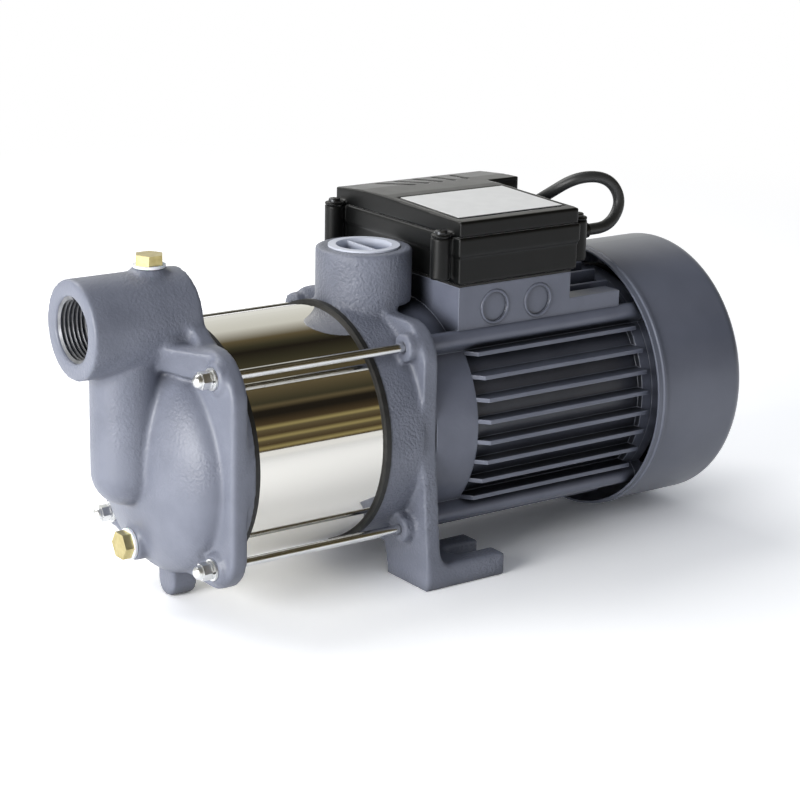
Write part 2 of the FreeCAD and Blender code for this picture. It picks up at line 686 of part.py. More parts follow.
rod_along_x(cover, cover_face + S.cavity_depth * HALF, S.drain_reach + S.cavity_depth * HALF, (ZERO, -S.drain_drop),
            S.pad_radius, backwards=True)
drawing = sketch_on(cover, "YZ_Plane", z=cover_face)
for side in (-1.0, 1.0):
    for level in (-1.0, 1.0):
        circle(drawing, (S.rod_y * side, S.rod_z * level), S.seat_radius)
pad(cover, drawing, S.nut_seat, backwards=True)
stub_low = S.stub_radius - S.shaft_height
drawing = sketch_on(cover, "YZ_Plane", z=cover_back)
rectangle(drawing, (-S.stub_radius, stub_low), (S.stub_radius, -S.cover_half_height))
pad(cover, drawing, S.stub_length, backwards=True)
drawing = sketch_on(cover, "YZ_Plane", z=cover_back)
circle(drawing, (ZERO, stub_low), S.stub_radius)
pad(cover, drawing, S.stub_length, backwards=True)
drawing = sketch_on(cover, "XZ_Plane")
outline(drawing, [
    (cover_back, ZERO), (cover_back, S.cavity_radius), (cover_back - S.cavity_depth, S.cavity_radius),
    (cover_back - S.cavity_depth - S.cavity_cone, S.cavity_end), (cover_back - S.cavity_depth - S.cavity_cone, ZERO),
])
groove(cover, drawing)
hole_along_x(cover, port_x, S.thread_depth, suction_axis, S.thread_radius)
hole_along_x(cover, port_x, S.suction_reach - S.passage_end, suction_axis, S.passage_radius)
hole_along_z(cover, S.suction_height, S.suction_height + S.nose_drop * 2.0, (nose_x, ZERO), S.passage_radius)
hole_along_z(cover, S.priming_height, S.priming_height - S.suction_height, priming_place, S.plug_thread)
hole_along_x(cover, cover_face - S.drain_reach, S.drain_reach + S.cavity_depth * HALF, (ZERO, -S.drain_drop),
             S.plug_thread)
drawing = sketch_on(cover, "YZ_Plane", z=cover_face - S.nut_seat)
for side in (-1.0, 1.0):
    for level in (-1.0, 1.0):
        circle(drawing, (S.rod_y * side, S.rod_z * level), S.rod_radius)
pocket(cover, drawing, S.nut_seat + plate_length, forwards=True)

# Bracket: discharge drum, boss, motor flange and feet in one casting.
bracket = new_body("bracket")
drawing = sketch_on(bracket, "XZ_Plane")
outline(drawing, [
    (ZERO, ZERO), (S.hub_back, ZERO), (S.hub_back, S.hub_radius), (motor_face, S.hub_radius),
    (motor_face, S.drum_radius - S.drum_wall), (flange_front, S.drum_radius), (ZERO, S.drum_radius),
])
revolve(bracket, drawing)
shoulder = S.flange_half_height - S.flange_round
drawing = sketch_on(bracket, "YZ_Plane", z=flange_front)
outline(drawing, [
    (-S.foot_outer, -S.shaft_height), (-S.foot_inner, -S.shaft_height),
    (S.arch_slope - S.foot_inner, -S.drum_radius), (S.foot_inner - S.arch_slope, -S.drum_radius),
    (S.foot_inner, -S.shaft_height), (S.foot_outer, -S.shaft_height),
    (S.foot_outer, S.foot_thickness - S.shaft_height), (S.flange_half_width, ZERO),
    (S.flange_half_width, S.flange_half_height), (-S.flange_half_width, S.flange_half_height),
    (-S.flange_half_width, ZERO), (-S.foot_outer, S.foot_thickness - S.shaft_height),
])
pad(bracket, drawing, S.flange_thickness)
softened(bracket, S.flange_round, lambda edge: along(edge, "x") and near(edge.BoundBox.ZMin, S.flange_half_height)
         and near(abs(edge.BoundBox.YMin), S.flange_half_width))
foot_end = S.slot_to_drum + S.foot_reach
drawing = sketch_on(bracket, "XY_Plane", z=-S.shaft_height)
for side in (-1.0, 1.0):
    rectangle(drawing, (flange_front, S.foot_inner * side), (foot_end, S.foot_outer * side))
pad(bracket, drawing, S.foot_thickness)
softened(bracket, S.foot_fillet, lambda edge: along(edge, "y") and near(edge.BoundBox.XMin, motor_face)
         and near(edge.BoundBox.ZMin, S.foot_thickness - S.shaft_height))
drawing = sketch_on(bracket, "YZ_Plane", z=flange_front)
for side in (-1.0, 1.0):
    for level in (-1.0, 1.0):
        circle(drawing, (S.rod_y * side, S.rod_z * level), S.rod_boss_radius)
pad(bracket, drawing, S.rod_boss_length, backwards=True)
discharge = (S.discharge_x, ZERO)
rod_along_z(bracket, S.boss_root, S.discharge_height - S.boss_root, discharge, S.discharge_radius)
drawing = sketch_on(bracket, "XY_Plane", z=S.overhang_height)
rectangle(drawing, (motor_face, -S.discharge_radius), (S.discharge_x + S.discharge_radius * 2.0, S.discharge_radius))
pocket(bracket, drawing, S.overhang_height - S.boss_root)
drawing = sketch_on(bracket, "YZ_Plane", z=motor_face)
circle(drawing, (ZERO, ZERO), S.housing_bore)
circle(drawing, (ZERO, ZERO), S.housing_bore - S.spigot_wall)
pad(bracket, drawing, S.spigot_length)
drawing = sketch_on(bracket, "YZ_Plane", z=motor_face)
circle(drawing, (ZERO, ZERO), S.housing_bore - S.spigot_wall)
circle(drawing, (ZERO, ZERO), S.hub_radius)
pocket(bracket, drawing, S.web_recess)
bearing_x = S.hub_back - S.bearing_width - S.wave_washer
drawing = sketch_on(bracket, "XZ_Plane")
outline(drawing, [
    (-S.drum_wall, ZERO), (-S.drum_wall, S.drum_radius - S.drum_wall),
    (S.chamber_depth, S.drum_radius - S.drum_wall),
    (S.chamber_depth, S.seal_bore), (S.chamber_depth + S.seal_depth, S.seal_bore),
    (S.chamber_depth + S.seal_depth, S.shaft_passage), (bearing_x, S.shaft_passage),
    (bearing_x, S.bearing_radius), (S.hub_back + S.spigot_length, S.bearing_radius),
    (S.hub_back + S.spigot_length, ZERO),
])
groove(bracket, drawing)
hole_along_z(bracket, S.discharge_height, S.thread_depth, discharge, S.thread_radius)
hole_along_z(bracket, S.discharge_height, S.cap_depth, discharge, S.lead_radius)
drawing = sketch_on(bracket, "XY_Plane", z=S.discharge_height - S.thread_depth)
rectangle(drawing, (S.chamber_depth * HALF, -S.passage_radius), (flange_front + S.spigot_length, S.passage_radius))
pocket(bracket, drawing, S.discharge_height - S.thread_depth - S.outlet_low)
bolt_tip = motor_face - S.bolt_grip
rod_end = bolt_tip - S.tip_gap
drawing = sketch_on(bracket, "YZ_Plane", z=flange_front - S.rod_boss_length)
for side in (-1.0, 1.0):
    for level in (-1.0, 1.0):
        circle(drawing, (S.rod_y * side, S.rod_z * level), S.rod_radius)
pocket(bracket, drawing, rod_end - flange_front + S.rod_boss_length, forwards=True)
bolt_place = S.bolt_circle * round(math.sqrt(HALF), 9)
drawing = sketch_on(bracket, "YZ_Plane", z=motor_face)
for side in (-1.0, 1.0):
    for level in (-1.0, 1.0):
        circle(drawing, (bolt_place * side, bolt_place * level), S.bolt_radius)
pocket(bracket, drawing, S.bolt_grip)
slot_y = (S.foot_inner + S.foot_outer) * HALF
drawing = sketch_on(bracket, "XY_Plane", z=S.foot_thickness - S.shaft_height)
for side in (-1.0, 1.0):
    rectangle(drawing, (S.slot_to_drum, slot_y * side - S.slot_width * HALF),
              (foot_end + S.foot_reach, slot_y * side + S.slot_width * HALF))
pocket(bracket, drawing, S.foot_thickness)
drawing = sketch_on(bracket, "XY_Plane", z=S.foot_thickness - S.shaft_height)
for side in (-1.0, 1.0):
    circle(drawing, (S.slot_to_drum, slot_y * side), S.slot_width * HALF)
pocket(bracket, drawing, S.foot_thickness)

# Tie rods with their washers and nuts.
seat_face = cover_face - S.nut_seat
spring_face = seat_face - S.washer_thickness
nut_face = spring_face - S.spring_thickness
rod = new_body("tie_rod", seated=False)
rod_start = nut_face - S.nut_height - S.rod_radius
rod_along_x(rod, rod_start, rod_end - rod_start, rod_place, S.rod_radius)
four_fold("tie_rods", rod)


def ring_body(name, start, thickness, outer, inner, slit=None):
    """A washer on a tie rod, in front of start."""
    body = new_body(name, seated=False)
    drawing = sketch_on(body, "YZ_Plane", z=start)
    circle(drawing, rod_place, outer)
    circle(drawing, rod_place, inner)
    pad(body, drawing, thickness, backwards=True)
    if slit is not None:
        drawing = sketch_on(body, "YZ_Plane", z=start)
        rectangle(drawing, (S.rod_y, S.rod_z - slit * HALF), (S.rod_y + outer * 2.0, S.rod_z + slit * HALF))
        pocket(body, drawing, thickness, forwards=False)
    return body


four_fold("flat_washers", ring_body("flat_washer", seat_face, S.washer_thickness, S.washer_radius, S.rod_radius))
four_fold("spring_washers", ring_body(
    "spring_washer", spring_face, S.spring_thickness, S.spring_radius, S.rod_radius, S.spring_gap
))


def hexagon(drawing, centre, flats):
    """A regular hexagon with two flats level."""
    corner = flats * round(HALF / math.cos(math.radians(30)), 9)
    points = []
    for k in range(6):
        a = math.radians(60 * k)
        points.append((corner * round(math.cos(a), 9) + centre[0], corner * round(math.sin(a), 9) + centre[1]))
    outline(drawing, points)


nut = new_body("acorn_nut", seated=False)
drawing = sketch_on(nut, "YZ_Plane", z=nut_face)
hexagon(drawing, rod_place, S.nut_flats)
pad(nut, drawing, S.nut_height, backwards=True)
drawing = sketch_on(nut, "YZ_Plane", z=nut_face - S.nut_height)
circle(drawing, rod_place, S.crown_radius)
pad(nut, drawing, S.crown_radius, backwards=True)
softened(nut, S.crown_round, lambda edge: edge.BoundBox.XLength < 0.01
         and near(edge.BoundBox.XMin, nut_face - S.nut_height - S.crown_radius))
hole_along_x(nut, nut_face, S.nut_height + S.rod_radius, rod_place, S.rod_radius, forwards=False)
four_fold("acorn_nuts", nut)

# Brass plugs with their washers: one on top of the neck, one low on the dome.
priming = new_body("priming_plug")
head_low = S.priming_height + S.plug_washer_thickness
drawing = sketch_on(priming, "XY_Plane", z=head_low)
hexagon(drawing, priming_place, S.plug_flats)
pad(priming, drawing, S.plug_head)
drawing = sketch_on(priming, "XY_Plane", z=head_low)
circle(drawing, priming_place, S.plug_thread)
pad(priming, drawing, S.plug_length, backwards=True)
drain = new_body("drain_plug")
drain_place = (ZERO, -S.drain_drop)
drain_face = cover_face - S.drain_reach
drawing = sketch_on(drain, "YZ_Plane", z=drain_face - S.plug_washer_thickness)
hexagon(drawing, drain_place, S.plug_flats)
pad(drain, drawing, S.plug_head, backwards=True)
rod_along_x(drain, drain_face - S.plug_washer_thickness, S.plug_length, drain_place, S.plug_thread)
washers = new_body("plug_washers")
drawing = sketch_on(washers, "XY_Plane", z=S.priming_height)
circle(drawing, priming_place, S.plug_washer)
circle(drawing, priming_place, S.plug_thread)
pad(washers, drawing, S.plug_washer_thickness)
drawing = sketch_on(washers, "YZ_Plane", z=drain_face)
circle(drawing, drain_place, S.plug_washer)
circle(drawing, drain_place, S.plug_thread)
pad(washers, drawing, S.plug_washer_thickness, backwards=True)

# Stages: casing ring, impeller and diffuser, repeated along the shaft.
first_stage = -S.stage_start
casing_outer = S.shell_radius - S.shell_wall - S.lip_wall - S.stage_clearance
ring_back = first_stage + S.stage_pitch - S.stage_seam
casings = new_body("stage_casings")
drawing = sketch_on(casings, "XZ_Plane")
outline(drawing, [
    (first_stage, S.eye_radius), (first_stage + S.stage_plate, S.eye_radius),
    (first_stage + S.stage_plate, casing_outer - S.stage_ring), (ring_back, casing_outer - S.stage_ring),
    (ring_back, casing_outer), (first_stage, casing_outer),
])
in_a_row(casings, [revolve(casings, drawing)], S.stage_count, S.stage_pitch)


def vanes(body, start, length, inner, outer, count, lean, backwards=False):
    """Straight vanes between two radii, leaning back from the radial direction."""
    drawing = sketch_on(body, "YZ_Plane", z=start)
    half = S.blade * HALF
    for k in range(count):
        turn = FULL_TURN / count * k
        tip = turn + lean
        outline(drawing, [
            spun((inner, -half), turn), spun((outer, -half), tip),
            spun((outer, half), tip), spun((inner, half), turn),
        ])
    return pad(body, drawing, length, backwards)


IMPELLER_BLADES = 6
IMPELLER_LEAN = -35.0
RETURN_VANES = 8
RETURN_LEAN = 40.0
wheel_front = first_stage + S.stage_plate + S.impeller_gap
wheel_back = wheel_front + S.impeller_width
impellers = new_body("impellers")
drawing = sketch_on(impellers, "XZ_Plane")
outline(drawing, [
    (wheel_front, S.wet_radius), (wheel_back, S.wet_radius), (wheel_back, S.impeller_radius),
    (wheel_back - S.shroud, S.impeller_radius), (wheel_back - S.shroud, S.sleeve_radius),
    (wheel_front, S.sleeve_radius),
])
back_shroud = revolve(impellers, drawing)
drawing = sketch_on(impellers, "XZ_Plane")
eye = S.eye_radius - S.impeller_gap * 2.0
outline(drawing, [
    (wheel_front, eye), (wheel_front + S.shroud, eye), (wheel_front + S.shroud, S.impeller_radius),
    (wheel_front, S.impeller_radius),
])
blade_feature = vanes(impellers, wheel_front + S.shroud, S.impeller_width - S.shroud * 2.0, S.eye_radius,
                      S.impeller_radius - S.blade, IMPELLER_BLADES, IMPELLER_LEAN)
front_shroud = revolve(impellers, drawing)
in_a_row(impellers, [back_shroud, blade_feature, front_shroud], S.stage_count, S.stage_pitch)
plate_front = wheel_back + S.diffuser_gap
diffusers = new_body("diffusers")
drawing = sketch_on(diffusers, "XZ_Plane")
outline(drawing, [
    (plate_front, S.diffuser_bore), (plate_front + S.shroud, S.diffuser_bore),
    (plate_front + S.shroud, S.diffuser_radius), (plate_front, S.diffuser_radius),
])
plate_feature = revolve(diffusers, drawing)
vane_feature = vanes(diffusers, plate_front + S.shroud, ring_back - plate_front - S.shroud,
                     S.eye_radius + S.blade, S.diffuser_radius - S.blade, RETURN_VANES, RETURN_LEAN)
in_a_row(diffusers, [plate_feature, vane_feature], S.stage_count, S.stage_pitch)
sleeves = new_body("spacer_sleeves")
drawing = sketch_on(sleeves, "XZ_Plane")
rectangle(drawing, (wheel_back, S.wet_radius), (wheel_front + S.stage_pitch, S.sleeve_radius))
in_a_row(sleeves, [revolve(sleeves, drawing)], S.stage_count - 1, S.stage_pitch)
last_wheel = wheel_back + S.stage_pitch * (S.stage_count - 1)

# Mechanical seal: the head turns with the shaft and runs against the seat in the bracket.
seat_ring = turned("seal_seat", [
    (S.chamber_depth, S.shaft_passage), (S.chamber_depth + S.seal_depth, S.shaft_passage),
    (S.chamber_depth + S.seal_depth, S.seal_bore), (S.chamber_depth, S.seal_bore),
])
head_back = S.chamber_depth - S.seal_face_gap
turned("seal_head", [
    (head_back - S.seal_head_length, S.seal_radius), (head_back, S.seal_radius), (head_back, S.seal_head_radius),
    (head_back - S.seal_head_length * HALF, S.seal_head_radius),
    (head_back - S.seal_head_length * HALF, S.sleeve_radius),
    (head_back - S.seal_head_length, S.sleeve_radius),
])

# Shaft, stepped for the stages, seal, bearings, rotor and fan.
bearing_end = bearing_x + S.bearing_width
core_front = motor_face + S.core_start
core_back = housing_end - S.turns_length - S.end_room
shield_back = housing_end + S.shield_thickness
rear_bearing = housing_end - S.shield_hub
rear_bearing_end = rear_bearing + S.bearing_width
fan_front = shield_back + S.fan_gap
fan_back = fan_front + S.fan_width
shaft_front = wheel_front - S.washer_thickness - S.impeller_nut_length - S.shaft_tip
turned("shaft", [
    (shaft_front, ZERO), (shaft_front, S.wet_radius), (last_wheel, S.wet_radius), (last_wheel, S.seal_radius),
    (S.chamber_depth + S.seal_depth, S.seal_radius), (bearing_x, S.bearing_bore), (bearing_end, S.bearing_bore),
    (bearing_end, S.core_shaft), (rear_bearing, S.core_shaft), (rear_bearing, S.bearing_bore),
    (rear_bearing_end, S.bearing_bore), (shield_back, S.tail_radius),
    (fan_back + S.shaft_tail, S.tail_radius), (fan_back + S.shaft_tail, ZERO),
])
impeller_nut = new_body("impeller_nut")
drawing = sketch_on(impeller_nut, "YZ_Plane", z=wheel_front - S.washer_thickness)
hexagon(drawing, (ZERO, ZERO), S.impeller_nut_flats)
circle(drawing, (ZERO, ZERO), S.wet_radius)
pad(impeller_nut, drawing, S.impeller_nut_length, backwards=True)
turned("nut_washer", [
    (wheel_front - S.washer_thickness, S.wet_radius), (wheel_front, S.wet_radius),
    (wheel_front, S.sleeve_radius), (wheel_front - S.washer_thickness, S.sleeve_radius),
])


def outer_ring(node, start):
    """Outer ring of a bearing with its two shields."""
    gap = S.bearing_bore + S.race_wall + S.race_gap
    end = start + S.bearing_width
    groove_radius = S.bearing_radius - S.race_wall
    return turned(node, [
        (start, gap), (start + S.shroud, gap), (start + S.shroud, groove_radius), (end - S.shroud, groove_radius),
        (end - S.shroud, gap), (end, gap), (end, S.bearing_radius), (start, S.bearing_radius),
    ])


outer_ring("front_bearing_outer", bearing_x)
outer_ring("rear_bearing_outer", rear_bearing)
inner_rings = new_body("bearing_inners")
for start in (bearing_x, rear_bearing):
    drawing = sketch_on(inner_rings, "XZ_Plane")
    rectangle(drawing, (start, S.bearing_bore), (start + S.bearing_width, S.bearing_bore + S.race_wall))
    revolve(inner_rings, drawing)
turned("wave_washer", [
    (rear_bearing_end, S.bearing_radius - S.race_wall),
    (rear_bearing_end + S.wave_washer, S.bearing_radius - S.race_wall),
    (rear_bearing_end + S.wave_washer, S.bearing_radius), (rear_bearing_end, S.bearing_radius),
])

# Motor: housing with fins, rails and the cast base of the terminal box.
housing = new_body("motor_housing")
drawing = sketch_on(housing, "YZ_Plane", z=motor_face)
circle(drawing, (ZERO, ZERO), S.housing_radius)
pad(housing, drawing, S.housing_length)
FIN_ROWS = 8
FINS = [k - (FIN_ROWS - 1) * HALF for k in range(FIN_ROWS)]
fin_length = S.housing_length - S.fin_start - S.fin_stop
half_fin = S.fin_thickness * HALF


def fin_reach(level):
    """How far a fin reaches sideways, so that all the tips lie on one circle."""
    return root(S.fin_tip * S.fin_tip - level * level)


def fin_base(level):
    """Where a fin starts, inside the wall."""
    return root(S.fin_root * S.fin_root - level * level)


def fin_collar(level):
    """Where a fin's front slope leaves the collar."""
    return root(S.collar_radius * S.collar_radius - level * level)


fin_front = motor_face + S.fin_start
fin_end = fin_front + fin_length
for start, length in ((motor_face, S.fin_start), (fin_end, S.fin_stop)):
    drawing = sketch_on(housing, "YZ_Plane", z=start)
    circle(drawing, (ZERO, ZERO), S.collar_radius)
    pad(housing, drawing, length)
for k in FINS:
    level = S.fin_pitch * k
    drawing = sketch_on(housing, "XY_Plane", z=level - half_fin)
    for side in (-1.0, 1.0):
        outline(drawing, [
            (fin_front, fin_base(level) * side), (fin_end, fin_base(level) * side),
            (fin_end, fin_reach(level) * side), (fin_front + S.fin_slope, fin_reach(level) * side),
            (fin_front, fin_collar(level) * side),
        ])
    pad(housing, drawing, S.fin_thickness)
low_fins = sketch_on(housing, "YZ_Plane", z=fin_front)
for k in FINS:
    level = S.fin_pitch * k
    rectangle(low_fins, (level - half_fin, -fin_reach(level)), (level + half_fin, -fin_base(level)))
pad(housing, low_fins, fin_length)
box_x = motor_face + S.box_front
box_end = box_x + S.box_length
cast_back = box_end - S.cast_end
top_fins = sketch_on(housing, "YZ_Plane", z=cast_back - S.cast_wall)
for k in FINS:
    level = S.fin_pitch * k
    rectangle(top_fins, (level - half_fin, fin_base(level)), (level + half_fin, fin_reach(level)))
pad(housing, top_fins, fin_end - cast_back + S.cast_wall)


def rails(body, start, length):
    """Four rounded rails along the housing, one round each through bolt."""
    drawing = sketch_on(body, "YZ_Plane", z=start)
    for k in range(4):
        turn = 45.0 + 90.0 * k
        outline(drawing, [
            spun((S.fin_root, -S.rail_radius), turn), spun((S.bolt_circle, -S.rail_radius), turn),
            spun((S.bolt_circle, S.rail_radius), turn), spun((S.fin_root, S.rail_radius), turn),
        ])
    pad(body, drawing, length)
    drawing = sketch_on(body, "YZ_Plane", z=start)
    for side in (-1.0, 1.0):
        for level in (-1.0, 1.0):
            circle(drawing, (bolt_place * side, bolt_place * level), S.rail_radius)
    pad(body, drawing, length)


rails(housing, motor_face, S.housing_length)
drawing = sketch_on(housing, "XY_Plane", z=S.cast_low)
rectangle(drawing, (box_x, -S.box_near), (cast_back, S.box_near))
pad(housing, drawing, S.cast_height - S.cast_low)
drawing = sketch_on(housing, "XY_Plane", z=S.cast_low)
rectangle(drawing, (cast_back, -S.box_near), (cast_back + S.step_length, S.step_width - S.box_near))
pad(housing, drawing, S.step_height - S.cast_low)
drawing = sketch_on(housing, "XY_Plane", z=S.cast_height)
rectangle(drawing, (box_x + S.cast_wall, S.cast_wall - S.box_near),
          (cast_back - S.cast_wall, S.box_near - S.cast_wall))
pocket(housing, drawing, S.cast_height - S.cast_floor)
drawing = sketch_on(housing, "XZ_Plane", z=S.box_near)
for place in (S.knock_first, S.knock_first + S.knock_pitch):
    circle(drawing, (box_x + place, S.knock_height), S.knock_radius)
pocket(housing, drawing, S.knock_depth)
drawing = sketch_on(housing, "YZ_Plane", z=motor_face)
circle(drawing, (ZERO, ZERO), S.housing_bore)
pocket(housing, drawing, S.housing_length, forwards=True)
drawing = sketch_on(housing, "YZ_Plane", z=motor_face)
for side in (-1.0, 1.0):
    for level in (-1.0, 1.0):
        circle(drawing, (bolt_place * side, bolt_place * level), S.bolt_radius)
pocket(housing, drawing, S.housing_length, forwards=True)
hole_along_z(housing, S.cast_floor + S.cast_wall, S.cast_floor - S.housing_bore + S.cast_wall * 2.0,
             (box_x + S.box_length * HALF, ZERO), S.lead_hole)

turned("stator_core", [
    (core_front, S.rotor_radius + S.air_gap), (core_back, S.rotor_radius + S.air_gap),
    (core_back, S.housing_bore), (core_front, S.housing_bore),
])
windings = new_body("windings")
for start in (core_front - S.turns_length, core_back):
    drawing = sketch_on(windings, "XZ_Plane")
    rectangle(drawing, (start, S.turns_inner), (start + S.turns_length, S.turns_outer))
    revolve(windings, drawing)
turned("rotor_core", [
    (core_front - S.end_ring, S.core_shaft), (core_back + S.end_ring, S.core_shaft),
    (core_back + S.end_ring, S.rotor_radius - S.shroud), (core_back, S.rotor_radius - S.shroud),
    (core_back, S.rotor_radius), (core_front, S.rotor_radius), (core_front, S.rotor_radius - S.shroud),
    (core_front - S.end_ring, S.rotor_radius - S.shroud),
])

# Rear end shield with the rear bearing's seat and lugs for the through bolts.
shield = new_body("rear_shield")
drawing = sketch_on(shield, "XZ_Plane")
seat_end = rear_bearing_end + S.wave_washer
outline(drawing, [
    (rear_bearing, S.bearing_radius), (seat_end, S.bearing_radius), (seat_end, S.shaft_passage),
    (seat_end + S.back_wall, S.shaft_passage), (seat_end + S.back_wall, S.hub_radius), (shield_back, S.hub_radius),
    (shield_back, S.collar_radius), (housing_end, S.collar_radius), (housing_end, S.housing_bore),
    (housing_end - S.spigot_length, S.housing_bore), (housing_end - S.spigot_length, S.housing_bore - S.spigot_wall),
    (housing_end, S.housing_bore - S.spigot_wall), (housing_end, S.hub_radius), (rear_bearing, S.hub_radius),
])
revolve(shield, drawing)
rails(shield, housing_end, S.shield_thickness)
drawing = sketch_on(shield, "YZ_Plane", z=housing_end)
for side in (-1.0, 1.0):
    for level in (-1.0, 1.0):
        circle(drawing, (bolt_place * side, bolt_place * level), S.bolt_radius)
pocket(shield, drawing, S.shield_thickness, forwards=True)
bolt = new_body("through_bolt", seated=False)
rod_along_x(bolt, bolt_tip, shield_back - bolt_tip, (bolt_place, bolt_place), S.bolt_radius)
drawing = sketch_on(bolt, "YZ_Plane", z=shield_back)
hexagon(drawing, (bolt_place, bolt_place), S.bolt_flats)
pad(bolt, drawing, S.bolt_head)
four_fold("through_bolts", bolt)

# Fan, its clip and the fan cover.
fan = new_body("cooling_fan")
drawing = sketch_on(fan, "XZ_Plane")
outline(drawing, [
    (fan_front, S.tail_radius), (fan_back, S.tail_radius), (fan_back, S.fan_hub),
    (fan_front + S.fan_plate, S.fan_hub), (fan_front + S.fan_plate, S.fan_radius), (fan_front, S.fan_radius),
])
revolve(fan, drawing)
drawing = sketch_on(fan, "YZ_Plane", z=fan_front + S.fan_plate)
rectangle(drawing, (S.fan_hub - S.blade, -S.blade * HALF), (S.fan_radius, S.blade * HALF))
in_a_ring(fan, [pad(fan, drawing, S.fan_width - S.fan_plate)], S.fan_blades)
turned("fan_clip", [
    (fan_back, S.tail_radius), (fan_back + S.clip_thickness, S.tail_radius),
    (fan_back + S.clip_thickness, S.tail_radius + S.race_wall), (fan_back, S.tail_radius + S.race_wall),
])
cover_start = housing_end - S.cover_overlap
cover_end = cover_start + S.cover_length
fan_cover = new_body("fan_cover")
drawing = sketch_on(fan_cover, "XZ_Plane")
bead_start = cover_start + S.bead_place
bead_end = bead_start + S.bead_width
bead_radius = S.cover_radius + S.bead_rise
outline(drawing, [
    (cover_start, ZERO), (cover_end, ZERO), (cover_end, S.cover_radius), (bead_end, S.cover_radius),
    (bead_end - S.bead_side, bead_radius), (bead_start + S.bead_side, bead_radius), (bead_start, S.cover_radius),
    (cover_start, S.cover_radius),
])
revolve(fan_cover, drawing)
softened(fan_cover, S.cover_corner, lambda edge: near(edge.BoundBox.XMin, cover_end))
drawing = sketch_on(fan_cover, "XZ_Plane")
inner_corner = S.cover_corner - S.cover_wall
inner_radius = S.cover_radius - S.cover_wall
inner_end = cover_end - S.cover_wall
inner_cut = inner_corner * ARC_MIDDLE
outline(drawing, [
    (cover_start, ZERO), (inner_end, ZERO), (inner_end, inner_radius - inner_corner),
    (inner_end - inner_cut, inner_radius - inner_cut), (inner_end - inner_corner, inner_radius),
    (cover_start, inner_radius),
])
groove(fan_cover, drawing)
grille = sketch_on(fan_cover, "YZ_Plane", z=cover_end)
half_slot = S.grille_slot * HALF
rectangle(grille, (S.grille_inner, -half_slot * HALF), (S.grille_middle, half_slot * HALF))
rectangle(grille, (S.grille_middle + S.grille_bridge, -half_slot), (S.grille_outer, half_slot))
slots = pocket(fan_cover, grille, S.cover_wall * 2.0)
in_a_ring(fan_cover, [slots], S.grille_count)
screws = new_body("cover_screws")
screw_x = housing_end + S.shield_thickness * HALF
for level in (-1.0, 1.0):
    drawing = sketch_on(screws, "XY_Plane")
    turn_to = Vector(0, 1, level)
    drawing.AttachmentOffset = FreeCAD.Placement(Vector(0, 0, 0), FreeCAD.Rotation(Vector(0, 0, 1), turn_to))
    circle(drawing, (screw_x, ZERO), S.screw_head)
    bind(drawing, "AttachmentOffset.Base.y", S.cover_radius * round(math.sqrt(HALF), 9))
    bind(drawing, "AttachmentOffset.Base.z", S.cover_radius * round(math.sqrt(HALF), 9) * level)
    pad(screws, drawing, S.head_height)

# Terminal box: gasket, base, lid and what they hold.
cast_top = S.cast_height
base_low = cast_top + S.box_seal
base_top = base_low + S.box_height
box_seal = new_body("box_gasket")
drawing = sketch_on(box_seal, "XY_Plane", z=cast_top)
rectangle(drawing, (box_x, -S.box_near), (cast_back, S.box_near))
rectangle(drawing, (box_x + S.cast_wall, S.cast_wall - S.box_near),
          (cast_back - S.cast_wall, S.box_near - S.cast_wall))
pad(box_seal, drawing, S.box_seal)
bay_end = box_end + S.bay_length


def box_plan(drawing, grow):
    """The box from above: a rectangle with the longer capacitor bay on the far side."""
    outline(drawing, [
        (box_x - grow, -S.box_near - grow), (box_end + grow, -S.box_near - grow),
        (box_end + grow, S.bay_start - grow), (bay_end + grow, S.bay_start - grow),
        (bay_end + grow, S.box_far + grow), (box_x - grow, S.box_far + grow),
    ])


bay_post = bay_end - S.post_out - S.post_radius
END_POSTS = [
    (box_x - S.post_out, -S.post_near, box_x + S.box_wall), (box_x - S.post_out, S.post_far, box_x + S.box_wall),
    (box_end + S.post_out, -S.post_near, box_end - S.box_wall),
]


def at_posts(drawing, radius):
    """A circle on each of the four screw posts."""
    for x, y, inward in END_POSTS:
        circle(drawing, (x, y), radius)
    circle(drawing, (bay_post, S.box_far + S.post_out), radius)


def post_webs(drawing):
    """A web from each post to the wall beside it."""
    for x, y, inward in END_POSTS:
        rectangle(drawing, (x, y - S.box_wall), (inward, y + S.box_wall))
    rectangle(drawing, (bay_post - S.box_wall, S.box_far - S.box_wall),
              (bay_post + S.box_wall, S.box_far + S.post_out))


box_base = new_body("box_base")
drawing = sketch_on(box_base, "XY_Plane", z=base_low)
box_plan(drawing, ZERO)
pad(box_base, drawing, S.box_height)
drawing = sketch_on(box_base, "XY_Plane", z=base_top - S.rim_height)
box_plan(drawing, S.rim_out)
pad(box_base, drawing, S.rim_height)
drawing = sketch_on(box_base, "XY_Plane", z=base_top - S.post_height)
at_posts(drawing, S.post_radius)
pad(box_base, drawing, S.post_height)
drawing = sketch_on(box_base, "XY_Plane", z=base_top - S.post_height)
post_webs(drawing)
pad(box_base, drawing, S.post_height)
drawing = sketch_on(box_base, "XY_Plane", z=base_top)
box_plan(drawing, -S.box_wall)
pocket(box_base, drawing, S.box_height - S.box_wall)
hole_along_z(box_base, base_low + S.box_wall * 2.0, S.box_wall * 2.0, (box_x + S.box_length * HALF, ZERO),
             S.lead_hole)
gland_place = (S.gland_y, S.gland_height)
hole_along_x(box_base, box_end + S.rim_out, S.box_wall + S.rim_out * 2.0, gland_place,
             S.gland_radius - S.box_wall, forwards=False)
drawing = sketch_on(box_base, "XY_Plane", z=base_top)
at_posts(drawing, S.lid_screw)
pocket(box_base, drawing, S.post_height * HALF)

